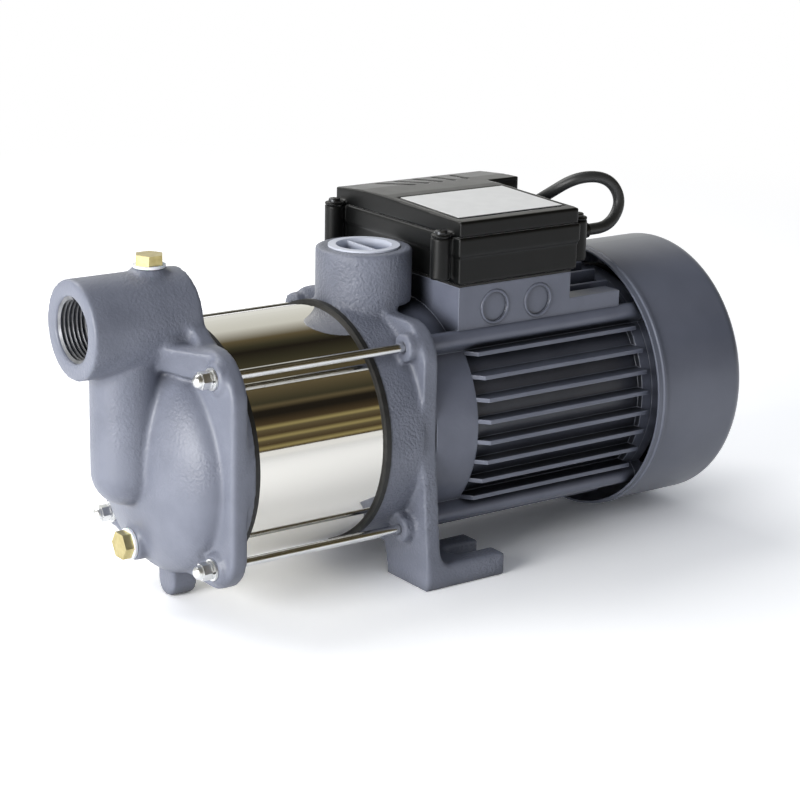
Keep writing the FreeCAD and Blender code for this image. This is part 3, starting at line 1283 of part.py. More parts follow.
# Lid: its near part slopes up to a crest, and from there it is arched over the capacitor down to the far edge.
lid_edge = base_top + S.lid_height
lid_crest = lid_edge + S.lid_rise
lid_far = lid_crest - S.lid_fall
arch_middle = (S.lid_crest + S.box_far) * HALF
arch_top = (lid_crest + lid_far) * HALF + S.lid_bow


def lid_section(drawing, near_side, far_side, drop):
    """The lid across the shaft, from its open underside up to drop below its top."""
    outline(drawing, [
        (near_side, base_top), (far_side, base_top), (far_side, lid_far - drop), (arch_middle, arch_top - drop),
        (S.lid_crest, lid_crest - drop), (near_side, lid_edge - drop),
    ])


lid = new_body("box_lid")
drawing = sketch_on(lid, "YZ_Plane", z=box_x)
lid_section(drawing, -S.box_near, S.box_far, ZERO)
pad(lid, drawing, bay_end - box_x)
drawing = sketch_on(lid, "XY_Plane", z=lid_crest)
rectangle(drawing, (box_end, -S.box_near * 2.0), (bay_end * 2.0, S.bay_start))
pocket(lid, drawing, lid_crest - base_top)
drawing = sketch_on(lid, "XY_Plane", z=base_top)
at_posts(drawing, S.post_radius)
pad(lid, drawing, S.tab_thickness)
drawing = sketch_on(lid, "XY_Plane", z=base_top)
post_webs(drawing)
pad(lid, drawing, S.tab_thickness)
drawing = sketch_on(lid, "YZ_Plane", z=box_x + S.box_wall)
lid_section(drawing, S.box_wall - S.box_near, S.box_far - S.box_wall, S.box_wall)
pocket(lid, drawing, S.box_length - S.box_wall * 2.0, forwards=True)
drawing = sketch_on(lid, "YZ_Plane", z=box_end - S.box_wall * 2.0)
lid_section(drawing, S.bay_start + S.box_wall, S.box_far - S.box_wall, S.box_wall)
pocket(lid, drawing, S.bay_length + S.box_wall, forwards=True)
drawing = sketch_on(lid, "XY_Plane", z=base_top + S.tab_thickness)
at_posts(drawing, S.lid_screw)
pocket(lid, drawing, S.tab_thickness)
GROOVES = 5
for k in range(GROOVES):
    near_end = box_x + S.groove_first + S.groove_pitch * k
    far_end = box_x + S.groove_first - S.groove_lean + S.groove_spread * k
    drawing = sketch_on(lid, "XY_Plane", z=lid_crest + S.lid_bow)
    outline(drawing, [
        (near_end, S.groove_near), (near_end + S.lid_groove, S.groove_near),
        (far_end + S.lid_groove, S.groove_far), (far_end, S.groove_far),
    ])
    pocket(lid, drawing, lid_crest - lid_far + S.groove_depth)
lid_screws = new_body("lid_screws")
drawing = sketch_on(lid_screws, "XY_Plane", z=base_top + S.tab_thickness)
at_posts(drawing, S.screw_head)
pad(lid_screws, drawing, S.head_height)
drawing = sketch_on(lid_screws, "XY_Plane", z=base_top + S.tab_thickness)
at_posts(drawing, S.lid_screw)
pad(lid_screws, drawing, S.tab_thickness + S.post_height * HALF, backwards=True)
label = new_body("rating_label")
drawing = sketch_on(label, "YZ_Plane", z=box_x + S.label_margin)
slope = S.lid_rise / (S.lid_crest + S.box_near)
label_low = lid_edge + slope * S.label_near
label_high = label_low + slope * S.label_width
label_start = S.label_near - S.box_near
outline(drawing, [
    (label_start, label_low), (label_start + S.label_width, label_high),
    (label_start + S.label_width, label_high + S.label_thickness), (label_start, label_low + S.label_thickness),
])
pad(label, drawing, S.label_length)
capacitor = new_body("capacitor")
floor_height = base_low + S.box_wall
rod_along_x(capacitor, box_x + (S.box_length - S.capacitor_length) * HALF, S.capacitor_length,
            (S.box_far - S.box_wall * 2.0 - S.capacitor_radius, floor_height + S.capacitor_radius),
            S.capacitor_radius)
block = new_body("terminal_block")
drawing = sketch_on(block, "XY_Plane", z=floor_height)
rectangle(drawing, (box_x + (S.box_length - S.block_length) * HALF, -S.block_near),
          (box_x + (S.box_length + S.block_length) * HALF, S.block_width - S.block_near))
pad(block, drawing, S.block_height)
earth = new_body("earth_screw")
earth_place = (box_x + S.cast_wall * 2.0, S.cast_wall * 2.0 - S.box_near)
rod_along_z(earth, floor_height, S.head_height * 2.0, earth_place, S.screw_head)

# Cable gland with its tapered relief, then the cord.
gland = new_body("cable_gland")
drawing = sketch_on(gland, "XZ_Plane", y=S.gland_height, z=-S.gland_y)
gland_thread = S.gland_radius - S.box_wall
gland_inside = box_end - S.box_wall - S.rim_out
gland_seat = box_end + S.rim_out
gland_face = gland_seat + S.gland_length
tip = gland_face + S.relief_length
outline(drawing, [
    (gland_inside, S.cord_radius), (tip, S.cord_radius), (tip, S.relief_end), (gland_face, gland_thread),
    (gland_face, S.gland_radius), (gland_seat, S.gland_radius),
    (gland_seat, gland_thread), (gland_inside, gland_thread),
])
revolve(gland, drawing)

# The cord leaves the gland, loops up beside the box and runs down behind the motor to the floor.
# The points stay as chosen from the photograph, measured from the drum face and the shaft axis.
cord_start = gland_face.number
floor_z = number_of(S.cord_radius) - number_of(S.shaft_height)
ROUTE = [
    (cord_start, -20.0, 89.0), (cord_start + 21.0, -20.0, 89.0), (178.5, -19.9, 89.3), (188.5, -18.0, 102.5),
    (181.0, -14.5, 116.0), (163.0, -8.5, 117.0), (154.0, 8.0, 104.0), (161.0, 34.0, 92.0), (162.0, 58.0, 81.0),
    (161.0, 82.0, 62.0), (158.0, 95.0, 34.0), (154.5, 101.0, 4.0), (150.0, 104.0, -25.0), (142.0, 107.5, -52.0),
    (122.0, 113.0, -74.5),
    (95.0, 116.5, floor_z), (68.0, 117.5, floor_z),
]


def bent_path(points):
    """Straight runs joined by tangent arcs as large as the runs allow."""
    points = [Vector(*p) for p in points]
    edges = []
    radii = []
    here = points[0]
    for a, b, c in zip(points, points[1:], points[2:]):
        into = (b - a).normalize()
        out = (c - b).normalize()
        turn = into.getAngle(out)
        shorter = min((b - a).Length, (c - b).Length)
        cut = 0.45 * shorter
        radius = cut / math.tan(turn / 2)
        radii.append(radius)
        start = b - into * cut
        end = b + out * cut
        bisector = (out - into).normalize()
        middle = b + bisector * (radius / math.cos(turn / 2) - radius)
        if (start - here).Length > 1e-6:
            edges.append(Part.LineSegment(here, start).toShape())
        edges.append(Part.Arc(start, middle, end).toShape())
        here = end
    edges.append(Part.LineSegment(here, points[-1]).toShape())
    return Part.Wire(edges), radii


def tube(points, radius):
    path, radii = bent_path(points)
    direction = Vector(*points[1]) - Vector(*points[0])
    section = Part.Wire([Part.Circle(Vector(*points[0]), direction, radius).toShape()])
    solid = path.makePipeShell([section], True, True)
    print("cord radii", " ".join("%.1f" % r for r in radii))
    print("cord length %.1f" % path.Length)
    expected = math.pi * radius * radius * path.Length
    if abs(solid.Volume - expected) > expected * 0.01:
        raise RuntimeError("the cord's volume is wrong: %.1f against %.1f" % (solid.Volume, expected))
    return solid


cord = doc.addObject("Part::Feature", "power_cord")
cord.Shape = tube(ROUTE, number_of(S.cord_radius))
seat(cord, "power_cord")

# The unseen length lies on the floor behind the motor as a coil, two turns high and spiralling in and out.
coil = new_body("cord_coil")
coil_x = Size(ROUTE[-1][0], repr(ROUTE[-1][0]))
outer_turn = S.coil_radius + S.cord_radius * 2.0
coil_y = outer_turn + ROUTE[-1][1]
drawing = sketch_on(coil, "XY_Plane", z=-S.shaft_height)
circle(drawing, (coil_x, coil_y), outer_turn + S.cord_radius)
circle(drawing, (coil_x, coil_y), S.coil_radius - S.cord_radius * 3.0)
pad(coil, drawing, S.cord_radius * 4.0)

# Plug: a round angled plug that lies on its back beside the coil, with its pins up.
plug = new_body("plug")
relief_tip = coil_x - S.plug_gap
plug_back = relief_tip - S.plug_relief
plug_place = (plug_back - S.plug_radius + S.cord_radius, coil_y - outer_turn)
rod_along_z(plug, -S.shaft_height, S.plug_height, plug_place, S.plug_radius)
softened(plug, S.cord_radius, lambda edge: near(edge.BoundBox.ZMin, S.plug_height - S.shaft_height))
drawing = sketch_on(plug, "XZ_Plane", y=S.plug_entry - S.shaft_height, z=-plug_place[1])
outline(drawing, [
    (relief_tip, ZERO), (relief_tip, S.relief_end), (plug_back, S.plug_neck),
    (plug_place[0], S.plug_neck), (plug_place[0], ZERO),
])
revolve(plug, drawing)
pins = new_body("plug_pins")
drawing = sketch_on(pins, "XY_Plane", z=S.plug_height - S.shaft_height)
for side in (-1.0, 1.0):
    circle(drawing, (plug_place[0], S.pin_spacing * HALF * side + plug_place[1]), S.pin_radius)
pad(pins, drawing, S.pin_length)

# Thread protector: a thin cup with a rib across, standing in the discharge port.
cap = new_body("port_cap")
drawing = sketch_on(cap, "XZ_Plane", x=S.discharge_x)
cap_low = S.discharge_height - S.cap_depth
cap_top = S.discharge_height + S.cap_rim
outline(drawing, [
    (ZERO, cap_low), (S.cap_body, cap_low), (S.cap_body, S.discharge_height), (S.cap_flange, S.discharge_height),
    (S.cap_flange, cap_top), (S.cap_body - S.cap_wall, cap_top), (S.cap_body - S.cap_wall, cap_low + S.cap_wall),
    (ZERO, cap_low + S.cap_wall),
])
revolve(cap, drawing, "V_Axis")
drawing = sketch_on(cap, "XY_Plane", z=cap_low)
rectangle(drawing, (S.discharge_x - S.cap_wall * HALF, -S.cap_body), (S.discharge_x + S.cap_wall * HALF, S.cap_body))
pad(cap, drawing, S.cap_depth)

# Recompute, check every object, write every sub-part.
doc.recompute()
for thing in doc.Objects:
    if "Invalid" in thing.State or "Error" in thing.State:
        raise RuntimeError("%s in %s failed: %s" % (thing.Name, thing.Label, thing.State))
os.makedirs("parts", exist_ok=True)
for thing in NODES:
    shape = thing.Shape
    if shape.isNull() or not shape.isValid() or not shape.Solids:
        raise RuntimeError("%s has no valid shape" % thing.Label)
    shape.exportStep(os.path.join("parts", thing.Label + ".step"))
    box = shape.BoundBox
    print("%-20s %d solids %9.0f mm3  x %.1f..%.1f  y %.1f..%.1f  z %.1f..%.1f" % (
        thing.Label, len(shape.Solids), shape.Volume, box.XMin, box.XMax, box.YMin, box.YMax, box.ZMin, box.ZMax
    ))
print(len(NODES), "nodes")
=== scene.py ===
# %% [markdown]
# # A horizontal multistage pump
# The solids come from the frame. This file gives them their finishes, adds the pieces that a solid
# model leaves plain, such as threads and screw heads, and sets up a small photo studio.
# Everything is in metres: X runs along the shaft to the fan, Z is up, and the floor is Z = 0.

# %% Load the frame
import math
import bpy
from mathutils import Matrix, Vector


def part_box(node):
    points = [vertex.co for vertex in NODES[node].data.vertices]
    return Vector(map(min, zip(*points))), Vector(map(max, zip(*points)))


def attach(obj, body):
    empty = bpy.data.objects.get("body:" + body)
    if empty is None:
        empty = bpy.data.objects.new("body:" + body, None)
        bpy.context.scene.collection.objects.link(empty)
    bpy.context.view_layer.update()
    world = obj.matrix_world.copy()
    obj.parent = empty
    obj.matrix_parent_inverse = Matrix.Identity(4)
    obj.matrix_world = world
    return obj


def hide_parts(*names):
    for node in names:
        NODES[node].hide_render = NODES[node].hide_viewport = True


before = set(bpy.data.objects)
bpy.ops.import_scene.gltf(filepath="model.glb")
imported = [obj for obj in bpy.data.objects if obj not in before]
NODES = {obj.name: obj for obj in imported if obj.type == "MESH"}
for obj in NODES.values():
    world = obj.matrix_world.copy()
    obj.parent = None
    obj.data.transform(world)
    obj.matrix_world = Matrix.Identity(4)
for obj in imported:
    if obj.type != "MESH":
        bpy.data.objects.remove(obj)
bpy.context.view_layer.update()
bpy.ops.object.select_all(action="DESELECT")
MM = 0.001

# %% [markdown]
# ## Camera
# The camera's place was found by matching points of the photograph to the real sizes of the pump:
# a long lens from the front left, a little above the pump. A long lens keeps the cylinders from
# looking conical, so the distance matters as much as the angle.

# %% Camera
EYE = Vector((-687.5, -942.5, 422.4)) * MM
YAW = math.radians(36.02)
PITCH = math.radians(16.25)
ROLL = math.radians(1.30)
SENSOR_WIDTH = 36.0
LENS_PER_SENSOR = 2.7925
FARTHEST = 50.0

forward = Vector((math.sin(YAW) * math.cos(PITCH), math.cos(YAW) * math.cos(PITCH), -math.sin(PITCH)))
level = Vector((math.cos(YAW), -math.sin(YAW), 0.0))
upright = level.cross(forward)
side = level * math.cos(ROLL) + upright * math.sin(ROLL)
top = upright * math.cos(ROLL) - level * math.sin(ROLL)
turn = Matrix((side, top, -forward)).transposed()
camera_data = bpy.data.cameras.new("camera")
camera_data.sensor_width = SENSOR_WIDTH
camera_data.lens = LENS_PER_SENSOR * SENSOR_WIDTH
camera_data.clip_end = FARTHEST
camera = bpy.data.objects.new("camera", camera_data)
camera.matrix_world = Matrix.Translation(EYE) @ turn.to_4x4()
bpy.context.scene.collection.objects.link(camera)
bpy.context.scene.camera = camera
print("lens", round(camera_data.lens, 1), "mm at", [round(v, 3) for v in EYE])

# %% [markdown]
# ## The power cord
# A rubber lead leaves the terminal box on the fan side. It is stiff enough to stand up in one tight
# loop over its strain relief before it drops behind the motor. Behind the pump the rest is
# wound into a flat coil of two layers and ends in its plug.
# A NURBS curve whose control points are the route's corners gives a bend like a real lead: it never
# kinks, and it always stays inside the corners. The thickness is given as each point's radius, with a
# bevel of one, because Blender adds the radius to the curve's bounding box.

# %% The route, measured from the drum's front face and the shaft axis, in millimetres
DRUM_X = -53.5
SHAFT_Z = 80.0
CORD_RADIUS = 3.25
GLAND_FACE_X = 139.3
STRAIGHT_OUT = 21.0
FLOOR_Z = CORD_RADIUS - SHAFT_Z
ROUTE = [
    (GLAND_FACE_X, -20.0, 89.0), (GLAND_FACE_X + STRAIGHT_OUT, -20.0, 89.0), (178.5, -19.9, 89.3),
    (188.5, -18.0, 102.5), (181.0, -14.5, 116.0), (163.0, -8.5, 117.0), (154.0, 8.0, 104.0),
    (161.0, 34.0, 92.0), (162.0, 58.0, 81.0), (161.0, 82.0, 62.0), (158.0, 95.0, 34.0),
    (154.5, 101.0, 4.0), (150.0, 104.0, -25.0), (142.0, 107.5, -52.0), (122.0, 113.0, -74.5),
    (95.0, 116.5, FLOOR_Z), (68.0, 117.5, FLOOR_Z),
]
PLUG_ENTRY = (48.0, 117.5, -69.5)
INSIDE_PLUG = (36.0, 117.5, -69.5)
print(len(ROUTE), "points up to the coil")

# %% The coil's turns, as more points of the same route
COIL_OUTER = 42.5
COIL_INNER = 29.5
LAYER_TURNS = 2
TURN_POINTS = 16
CLIMB_POINTS = 3.0


def coil_points():
    """Two turns that spiral inwards on the floor, then two that spiral outwards on top of them."""
    centre_x = ROUTE[-1][0]
    centre_y = ROUTE[-1][1] + COIL_OUTER
    layer = LAYER_TURNS * TURN_POINTS
    shrink = (COIL_OUTER - COIL_INNER) / layer
    points = []
    for k in range(1, 2 * layer + 1):
        radius = COIL_OUTER - shrink * min(k, 2 * layer - k)
        climb = min(max((k - layer) / CLIMB_POINTS + 0.5, 0.0), 1.0)
        angle = -math.pi / 2 - 2 * math.pi * k / TURN_POINTS
        points.append((centre_x + radius * math.cos(angle), centre_y + radius * math.sin(angle),
                       FLOOR_Z + 2 * CORD_RADIUS * climb))
    return points


def to_row(point):
    """From the drum and shaft to the row's frame, in metres."""
    return Vector((point[0] + DRUM_X, point[1], point[2] + SHAFT_Z)) * MM


# %% The lead
line = [to_row(p) for p in ROUTE + coil_points() + [PLUG_ENTRY, INSIDE_PLUG]]
curve = bpy.data.curves.new("power_lead", "CURVE")
curve.dimensions = "3D"
curve.bevel_depth = 1.0
curve.bevel_resolution = 5
curve.resolution_u = 8
curve.use_fill_caps = True
spline = curve.splines.new("NURBS")
spline.points.add(len(line) - 1)
for place, point in zip(line, spline.points):
    point.co = (*place, 1.0)
    point.radius = CORD_RADIUS * MM
spline.order_u = 3
spline.use_endpoint_u = True
lead = bpy.data.objects.new("power_lead", curve)
bpy.context.scene.collection.objects.link(lead)
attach(lead, "pump")
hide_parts("power_cord", "cord_coil")

# %% [markdown]
# ## Sand castings
# The suction cover and the bracket are grey iron, cast in sand. The foundry rounds every edge and
# fills every inside corner, because sand can't hold a sharp edge and iron cracks at a sharp corner.
# The solids have those edges sharp. Bevelling hundreds of edges by hand would take long and fails
# where curved forms meet. So a copy of each casting is rebuilt from small cubes of one size, a
# voxel remesh, and then relaxed: the smoothing wears outer edges down and fills inner corners,
# just as the moulder does.

# %% Copy a node, soften the copy, and let it stand for the node
WELD = 0.001 * MM
IRON_GRID = 1.3 * MM


def choose(piece):
    """Selects one piece alone and makes it the active one."""
    bpy.ops.object.select_all(action="DESELECT")
    piece.select_set(True)
    bpy.context.view_layer.objects.active = piece


def merged_copy(node, name):
    """A copy of a node's mesh as a piece of its own, with the loose triangles joined."""
    piece = bpy.data.objects.new(name, NODES[node].data.copy())
    piece.data.transform(NODES[node].matrix_world)
    bpy.context.scene.collection.objects.link(piece)
    choose(piece)
    bpy.ops.object.mode_set(mode="EDIT")
    bpy.ops.mesh.select_all(action="SELECT")
    bpy.ops.mesh.remove_doubles(threshold=WELD)
    bpy.ops.object.mode_set(mode="OBJECT")
    return piece


def soften(piece, grid, relax_steps):
    """Rebuilds a piece from cubes of one size and relaxes it, which rounds edges and fills corners."""
    choose(piece)
    cubes = piece.modifiers.new("cubes", "REMESH")
    cubes.mode = "VOXEL"
    cubes.voxel_size = grid
    bpy.ops.object.modifier_apply(modifier="cubes")
    relax = piece.modifiers.new("relax", "SMOOTH")
    relax.factor = 0.5
    relax.iterations = relax_steps
    bpy.ops.object.modifier_apply(modifier="relax")
    bpy.ops.object.shade_smooth()
    print(piece.name, len(piece.data.polygons), "faces")


def stand_in(piece, node):
    """The piece rides on the pump and stands for its node."""
    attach(piece, "pump")
    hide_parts(node)


# %% The two castings
cover_casting = merged_copy("suction_cover", "suction_casting")
soften(cover_casting, IRON_GRID, relax_steps=5)
stand_in(cover_casting, "suction_cover")
bracket_casting = merged_copy("bracket", "bracket_casting")
soften(bracket_casting, IRON_GRID, relax_steps=3)
stand_in(bracket_casting, "bracket")

# %% [markdown]
# ## Terminal box
# The lid and the base are black plastic, moulded in a tool whose edges are rounded by about a
# millimetre. They are softened like the castings, on a finer grid. Before that, the lid gets its
# five slanting grooves and a narrow channel round the label, which keeps a finger nail from
# lifting it. A groove could be drawn with a bump, but its dark line would then vanish from the side.
# So each one is cut with a bar by a Boolean, deep enough to outlive the softening.

# %% A bar that cuts a channel
def cut_bar(piece, start, end, width, depth):
    """Cuts a channel between two points of a surface: a bar four depths thick, one of them sunk."""
    start, end = Vector(start), Vector(end)
    bpy.ops.object.select_all(action="DESELECT")
    bpy.ops.mesh.primitive_cube_add(size=1.0)
    bar = bpy.context.active_object
    bar.dimensions = (width * MM, (end - start).length * MM, 4.0 * depth * MM)
    bar.rotation_euler = (end - start).to_track_quat("Y", "Z").to_euler()
    bar.location = ((start + end) / 2 + Vector((0.0, 0.0, depth))) * MM
    bpy.ops.object.transform_apply(location=True, rotation=True, scale=True)
    bpy.context.view_layer.objects.active = piece
    cut = piece.modifiers.new("cut", "BOOLEAN")
    cut.operation = "DIFFERENCE"
    cut.object = bar
    bpy.ops.object.modifier_apply(modifier="cut")
    bpy.data.objects.remove(bar)


# %% Five grooves, each a little more slanted than the last
GROOVES = 5
GROOVE_WIDTH = 2.0
GROOVE_DEPTH = 1.4
NEAR_ENDS = {"first": 33.8, "step": 9.2, "y": 40.0, "drop": 0.6}
FAR_ENDS = {"first": 21.8, "step": 13.0, "y": 61.0, "drop": 2.0}
lid = merged_copy("box_lid", "moulded_lid")
lid_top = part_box("box_lid")[1].z / MM
for k in range(GROOVES):
    near_end, far_end = [(row["first"] + row["step"] * k, row["y"], lid_top - row["drop"])
                         for row in (NEAR_ENDS, FAR_ENDS)]
    cut_bar(lid, near_end, far_end, GROOVE_WIDTH, GROOVE_DEPTH)
print(GROOVES, "grooves")

# %% The channel round the label, which slopes with the lid
CHANNEL_GAP = 1.2
CHANNEL_WIDTH = 1.6
CHANNEL_DEPTH = 1.1
LABEL_FILM = 0.3
low, high = [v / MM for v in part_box("rating_label")]
left, right = low.x - CHANNEL_GAP, high.x + CHANNEL_GAP
near, far = low.y - CHANNEL_GAP, high.y + CHANNEL_GAP
far_z = high.z - LABEL_FILM
corners = [(left, near, low.z), (right, near, low.z), (right, far, far_z), (left, far, far_z)]
for k in range(4):
    cut_bar(lid, corners[k], corners[(k + 1) % 4], CHANNEL_WIDTH, CHANNEL_DEPTH)
print("channel", round(right - left, 1), "by", round(far - near, 1), "mm")

# %% Soften the lid and the base
PLASTIC_GRID = 0.8 * MM
PLASTIC_RELAX = 2
soften(lid, PLASTIC_GRID, PLASTIC_RELAX)
stand_in(lid, "box_lid")
box = merged_copy("box_base", "moulded_base")
soften(box, PLASTIC_GRID, PLASTIC_RELAX)
stand_in(box, "box_base")

# %% [markdown]
# ## Cross-recess screws
# Four screws hold the lid. A pressed screw head is a low dome with a cross punched into it. One head
# is modelled: a cylinder whose top edge is bevelled in edit mode, less two thin bars for the cross.
# The others are copies, each turned a little differently, as a screwdriver leaves them.

# %% One screw head
HEAD_RADIUS = 3.2
HEAD_HEIGHT = 1.8
HEAD_ROUND = 0.81
CROSS_WIDTH = 0.9
CROSS_LENGTH = 3.8
CROSS_DEPTH = 0.9


def screw_head(name):
    """A pressed head with a cross recess, standing on the origin."""
    bpy.ops.object.select_all(action="DESELECT")
    bpy.ops.mesh.primitive_cylinder_add(vertices=40, radius=HEAD_RADIUS * MM, depth=HEAD_HEIGHT * MM,
                                        location=(0.0, 0.0, HEAD_HEIGHT / 2 * MM))
    head = bpy.context.active_object
    head.name = name
    bpy.ops.object.transform_apply(location=True, rotation=True, scale=True)
    bpy.ops.object.mode_set(mode="EDIT")
    bpy.ops.mesh.select_all(action="DESELECT")
    bpy.ops.object.mode_set(mode="OBJECT")
    for edge in head.data.edges:
        edge.select = all(head.data.vertices[v].co.z > HEAD_HEIGHT / 2 * MM for v in edge.vertices)
    bpy.ops.object.mode_set(mode="EDIT")
    bpy.ops.mesh.select_mode(type="EDGE")
    bpy.ops.mesh.bevel(offset=HEAD_ROUND * MM, segments=4)
    bpy.ops.object.mode_set(mode="OBJECT")
    crown = Vector((0.0, 0.0, HEAD_HEIGHT))
    for arm in (Vector((CROSS_LENGTH / 2, 0.0, 0.0)), Vector((0.0, CROSS_LENGTH / 2, 0.0))):
        cut_bar(head, crown - arm, crown + arm, CROSS_WIDTH, CROSS_DEPTH)
    choose(head)
    bpy.ops.object.shade_smooth_by_angle(angle=math.radians(35))
    return head


# %% Four heads on the lid's posts
POSTS = [(-7.7, -40.0), (-7.7, 58.0), (84.3, -40.0), (88.1, 72.5)]
HEAD_TURN = math.radians(37)
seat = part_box("lid_screws")[1].z / MM - HEAD_HEIGHT
pattern = screw_head("lid_screw_1")
lid_heads = [pattern]
for number in range(2, len(POSTS) + 1):
    copied = bpy.data.objects.new("lid_screw_%d" % number, pattern.data.copy())
    bpy.context.scene.collection.objects.link(copied)
    lid_heads.append(copied)
for number, (head, (x, y)) in enumerate(zip(lid_heads, POSTS), 1):
    on_post = Matrix.Translation(Vector((x, y, seat)) * MM)
    head.data.transform(on_post @ Matrix.Rotation(HEAD_TURN * number, 4, "Z"))
    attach(head, "pump")
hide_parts("lid_screws")
print(len(lid_heads), "screw heads at", POSTS)

# %% [markdown]
# ## Port threads
# Both ports have a pipe thread of eleven threads to the inch, cut on a lathe. A thread is one ridge
# that climbs round the bore, so it is one triangle swept along a helix, and the Screw modifier does
# exactly that. Modelled rings would look right from afar, but no pipe could be screwed into them.

# %% Cut a thread
THREAD_PITCH = 25.4 / 11
THREAD_ROOT = 16.6
THREAD_TURNS = 7
TURN_STEPS = 64
RIDGE_SHARE = 0.64  # the triangle's radius, as a share of the pitch


def close_ends(ridge):
    """Fills the helix's two open ends and turns its faces outwards."""
    bpy.ops.object.mode_set(mode="EDIT")
    bpy.ops.mesh.select_all(action="DESELECT")
    bpy.ops.mesh.select_non_manifold()
    bpy.ops.mesh.fill_holes(sides=4)
    bpy.ops.mesh.select_all(action="SELECT")
    bpy.ops.mesh.normals_make_consistent(inside=False)
    bpy.ops.object.mode_set(mode="OBJECT")


def pipe_thread(name, mouth, tilt, first):
    """A ridge that climbs round a port's bore, inwards from `first` millimetres behind its face."""
    at_root = (THREAD_ROOT * MM, 0.0, 0.0)
    bpy.ops.object.select_all(action="DESELECT")
    bpy.ops.mesh.primitive_circle_add(vertices=3, radius=THREAD_PITCH * RIDGE_SHARE * MM, fill_type="NGON",
                                      location=at_root, rotation=(math.pi / 2, 0.0, 0.0))
    ridge = bpy.context.active_object
    ridge.name = name
    bpy.ops.object.mode_set(mode="EDIT")
    bpy.ops.mesh.select_all(action="SELECT")
    bpy.ops.transform.rotate(value=math.pi / 2, orient_axis="Y", center_override=at_root)
    bpy.ops.mesh.delete(type="ONLY_FACE")
    bpy.ops.object.mode_set(mode="OBJECT")
    bpy.ops.object.transform_apply(location=True, rotation=True, scale=True)
    helix = ridge.modifiers.new("helix", "SCREW")
    helix.axis = "Z"
    helix.screw_offset = -THREAD_PITCH * MM
    helix.iterations = THREAD_TURNS
    helix.steps = TURN_STEPS
    helix.render_steps = TURN_STEPS
    helix.use_merge_vertices = False
    bpy.ops.object.modifier_apply(modifier="helix")
    close_ends(ridge)
    ridge.location = (0.0, 0.0, -first * MM)
    bpy.ops.object.transform_apply(location=True, rotation=False, scale=False)
    ridge.rotation_euler = tilt
    bpy.ops.object.transform_apply(location=False, rotation=True, scale=False)
    ridge.location = mouth
    bpy.ops.object.transform_apply(location=True, rotation=False, scale=False)
    bpy.ops.object.shade_smooth_by_angle(angle=math.radians(30))
    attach(ridge, "pump")
    print(name, len(ridge.data.polygons), "faces")
    return ridge


# %% The two threads
SUCTION_MOUTH = Vector((-200.6, 0.0, SHAFT_Z + 67.9)) * MM
DISCHARGE_MOUTH = Vector((DRUM_X + 25.5, 0.0, SHAFT_Z + 91.2)) * MM
FACING_FRONT = (0.0, -math.pi / 2, 0.0)
FACING_UP = (0.0, 0.0, 0.0)
suction_thread = pipe_thread("suction_thread", SUCTION_MOUTH, FACING_FRONT, first=1.8)
discharge_thread = pipe_thread("discharge_thread", DISCHARGE_MOUTH, FACING_UP, first=7.6)

# %% [markdown]
# ## Knock-outs of the cast base
# Two round blanks in the near wall of the cast terminal base can be knocked out for a conduit. Each
# is a shallow dish with a raised rim. The dish is in the solid. The rim is a bead: a torus half sunk
# in the wall, squashed so that it is lower than it is wide.

# %% Rims
WALL_Y = -48.5
RIM_RADIUS = 8.6
RIM_WIDTH = 0.9
RIM_FLATTEN = 0.8
KNOCK_Z = SHAFT_Z + 62.3
KNOCK_X = (22.8, 51.8)
rims = []
for number, x in enumerate(KNOCK_X, 1):
    centre = Vector((x, WALL_Y, KNOCK_Z)) * MM
    bpy.ops.object.select_all(action="DESELECT")
    bpy.ops.mesh.primitive_torus_add(major_radius=RIM_RADIUS * MM, minor_radius=RIM_WIDTH * MM,
                                     major_segments=56, minor_segments=12, location=centre,
                                     rotation=(math.pi / 2, 0.0, 0.0))
    rim = bpy.context.active_object
    rim.name = "knock_out_rim_%d" % number
    bpy.ops.object.mode_set(mode="EDIT")
    bpy.ops.mesh.select_all(action="SELECT")
    bpy.ops.transform.resize(value=(1.0, RIM_FLATTEN, 1.0), center_override=centre)
    bpy.ops.object.mode_set(mode="OBJECT")
    bpy.ops.object.transform_apply(location=True, rotation=True, scale=True)
    bpy.ops.object.shade_smooth()
    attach(rim, "pump")
    rims.append(rim)
print(len(rims), "rims")

# %% [markdown]
# ## Studio
# The pump stands on a white table. A low soft lamp from the left models the castings, because light
# that grazes a casting shows its grain, and a wide lamp behind throws a soft shadow towards the
# camera. The table is matt white paper. Under such soft light white paper would look grey, so for
# camera and mirror rays alone it reflects more: the shadow keeps its contrast, and no extra light
# falls on the pump. The world has two jobs. It fills the shadows evenly, and for mirror rays it is a
# room, because polished steel looks like steel only when it has something dark and something bright
# to show: brown walls with three strip lamps low in front, dark beams above, and a cream screen behind.

# %% Colours and nodes
def colour(code):
    """A linear colour from an sRGB hex code."""
    channels = [int(code[i:i + 2], 16) / 255 for i in (1, 3, 5)]
    return tuple(c / 12.92 if c <= 0.04045 else ((c + 0.055) / 1.055) ** 2.4 for c in channels) + (1.0,)


def add_node(tree, kind, settings=None, inputs=None, links=None):
    """Adds one node with its settings, its input values and its incoming links."""
    made = tree.nodes.new(kind)
    for name, value in (settings or {}).items():
        setattr(made, name, value)
    for name, value in (inputs or {}).items():
        made.inputs[name].default_value = value
    for name, source in (links or {}).items():
        tree.links.new(source, made.inputs[name])
    return made


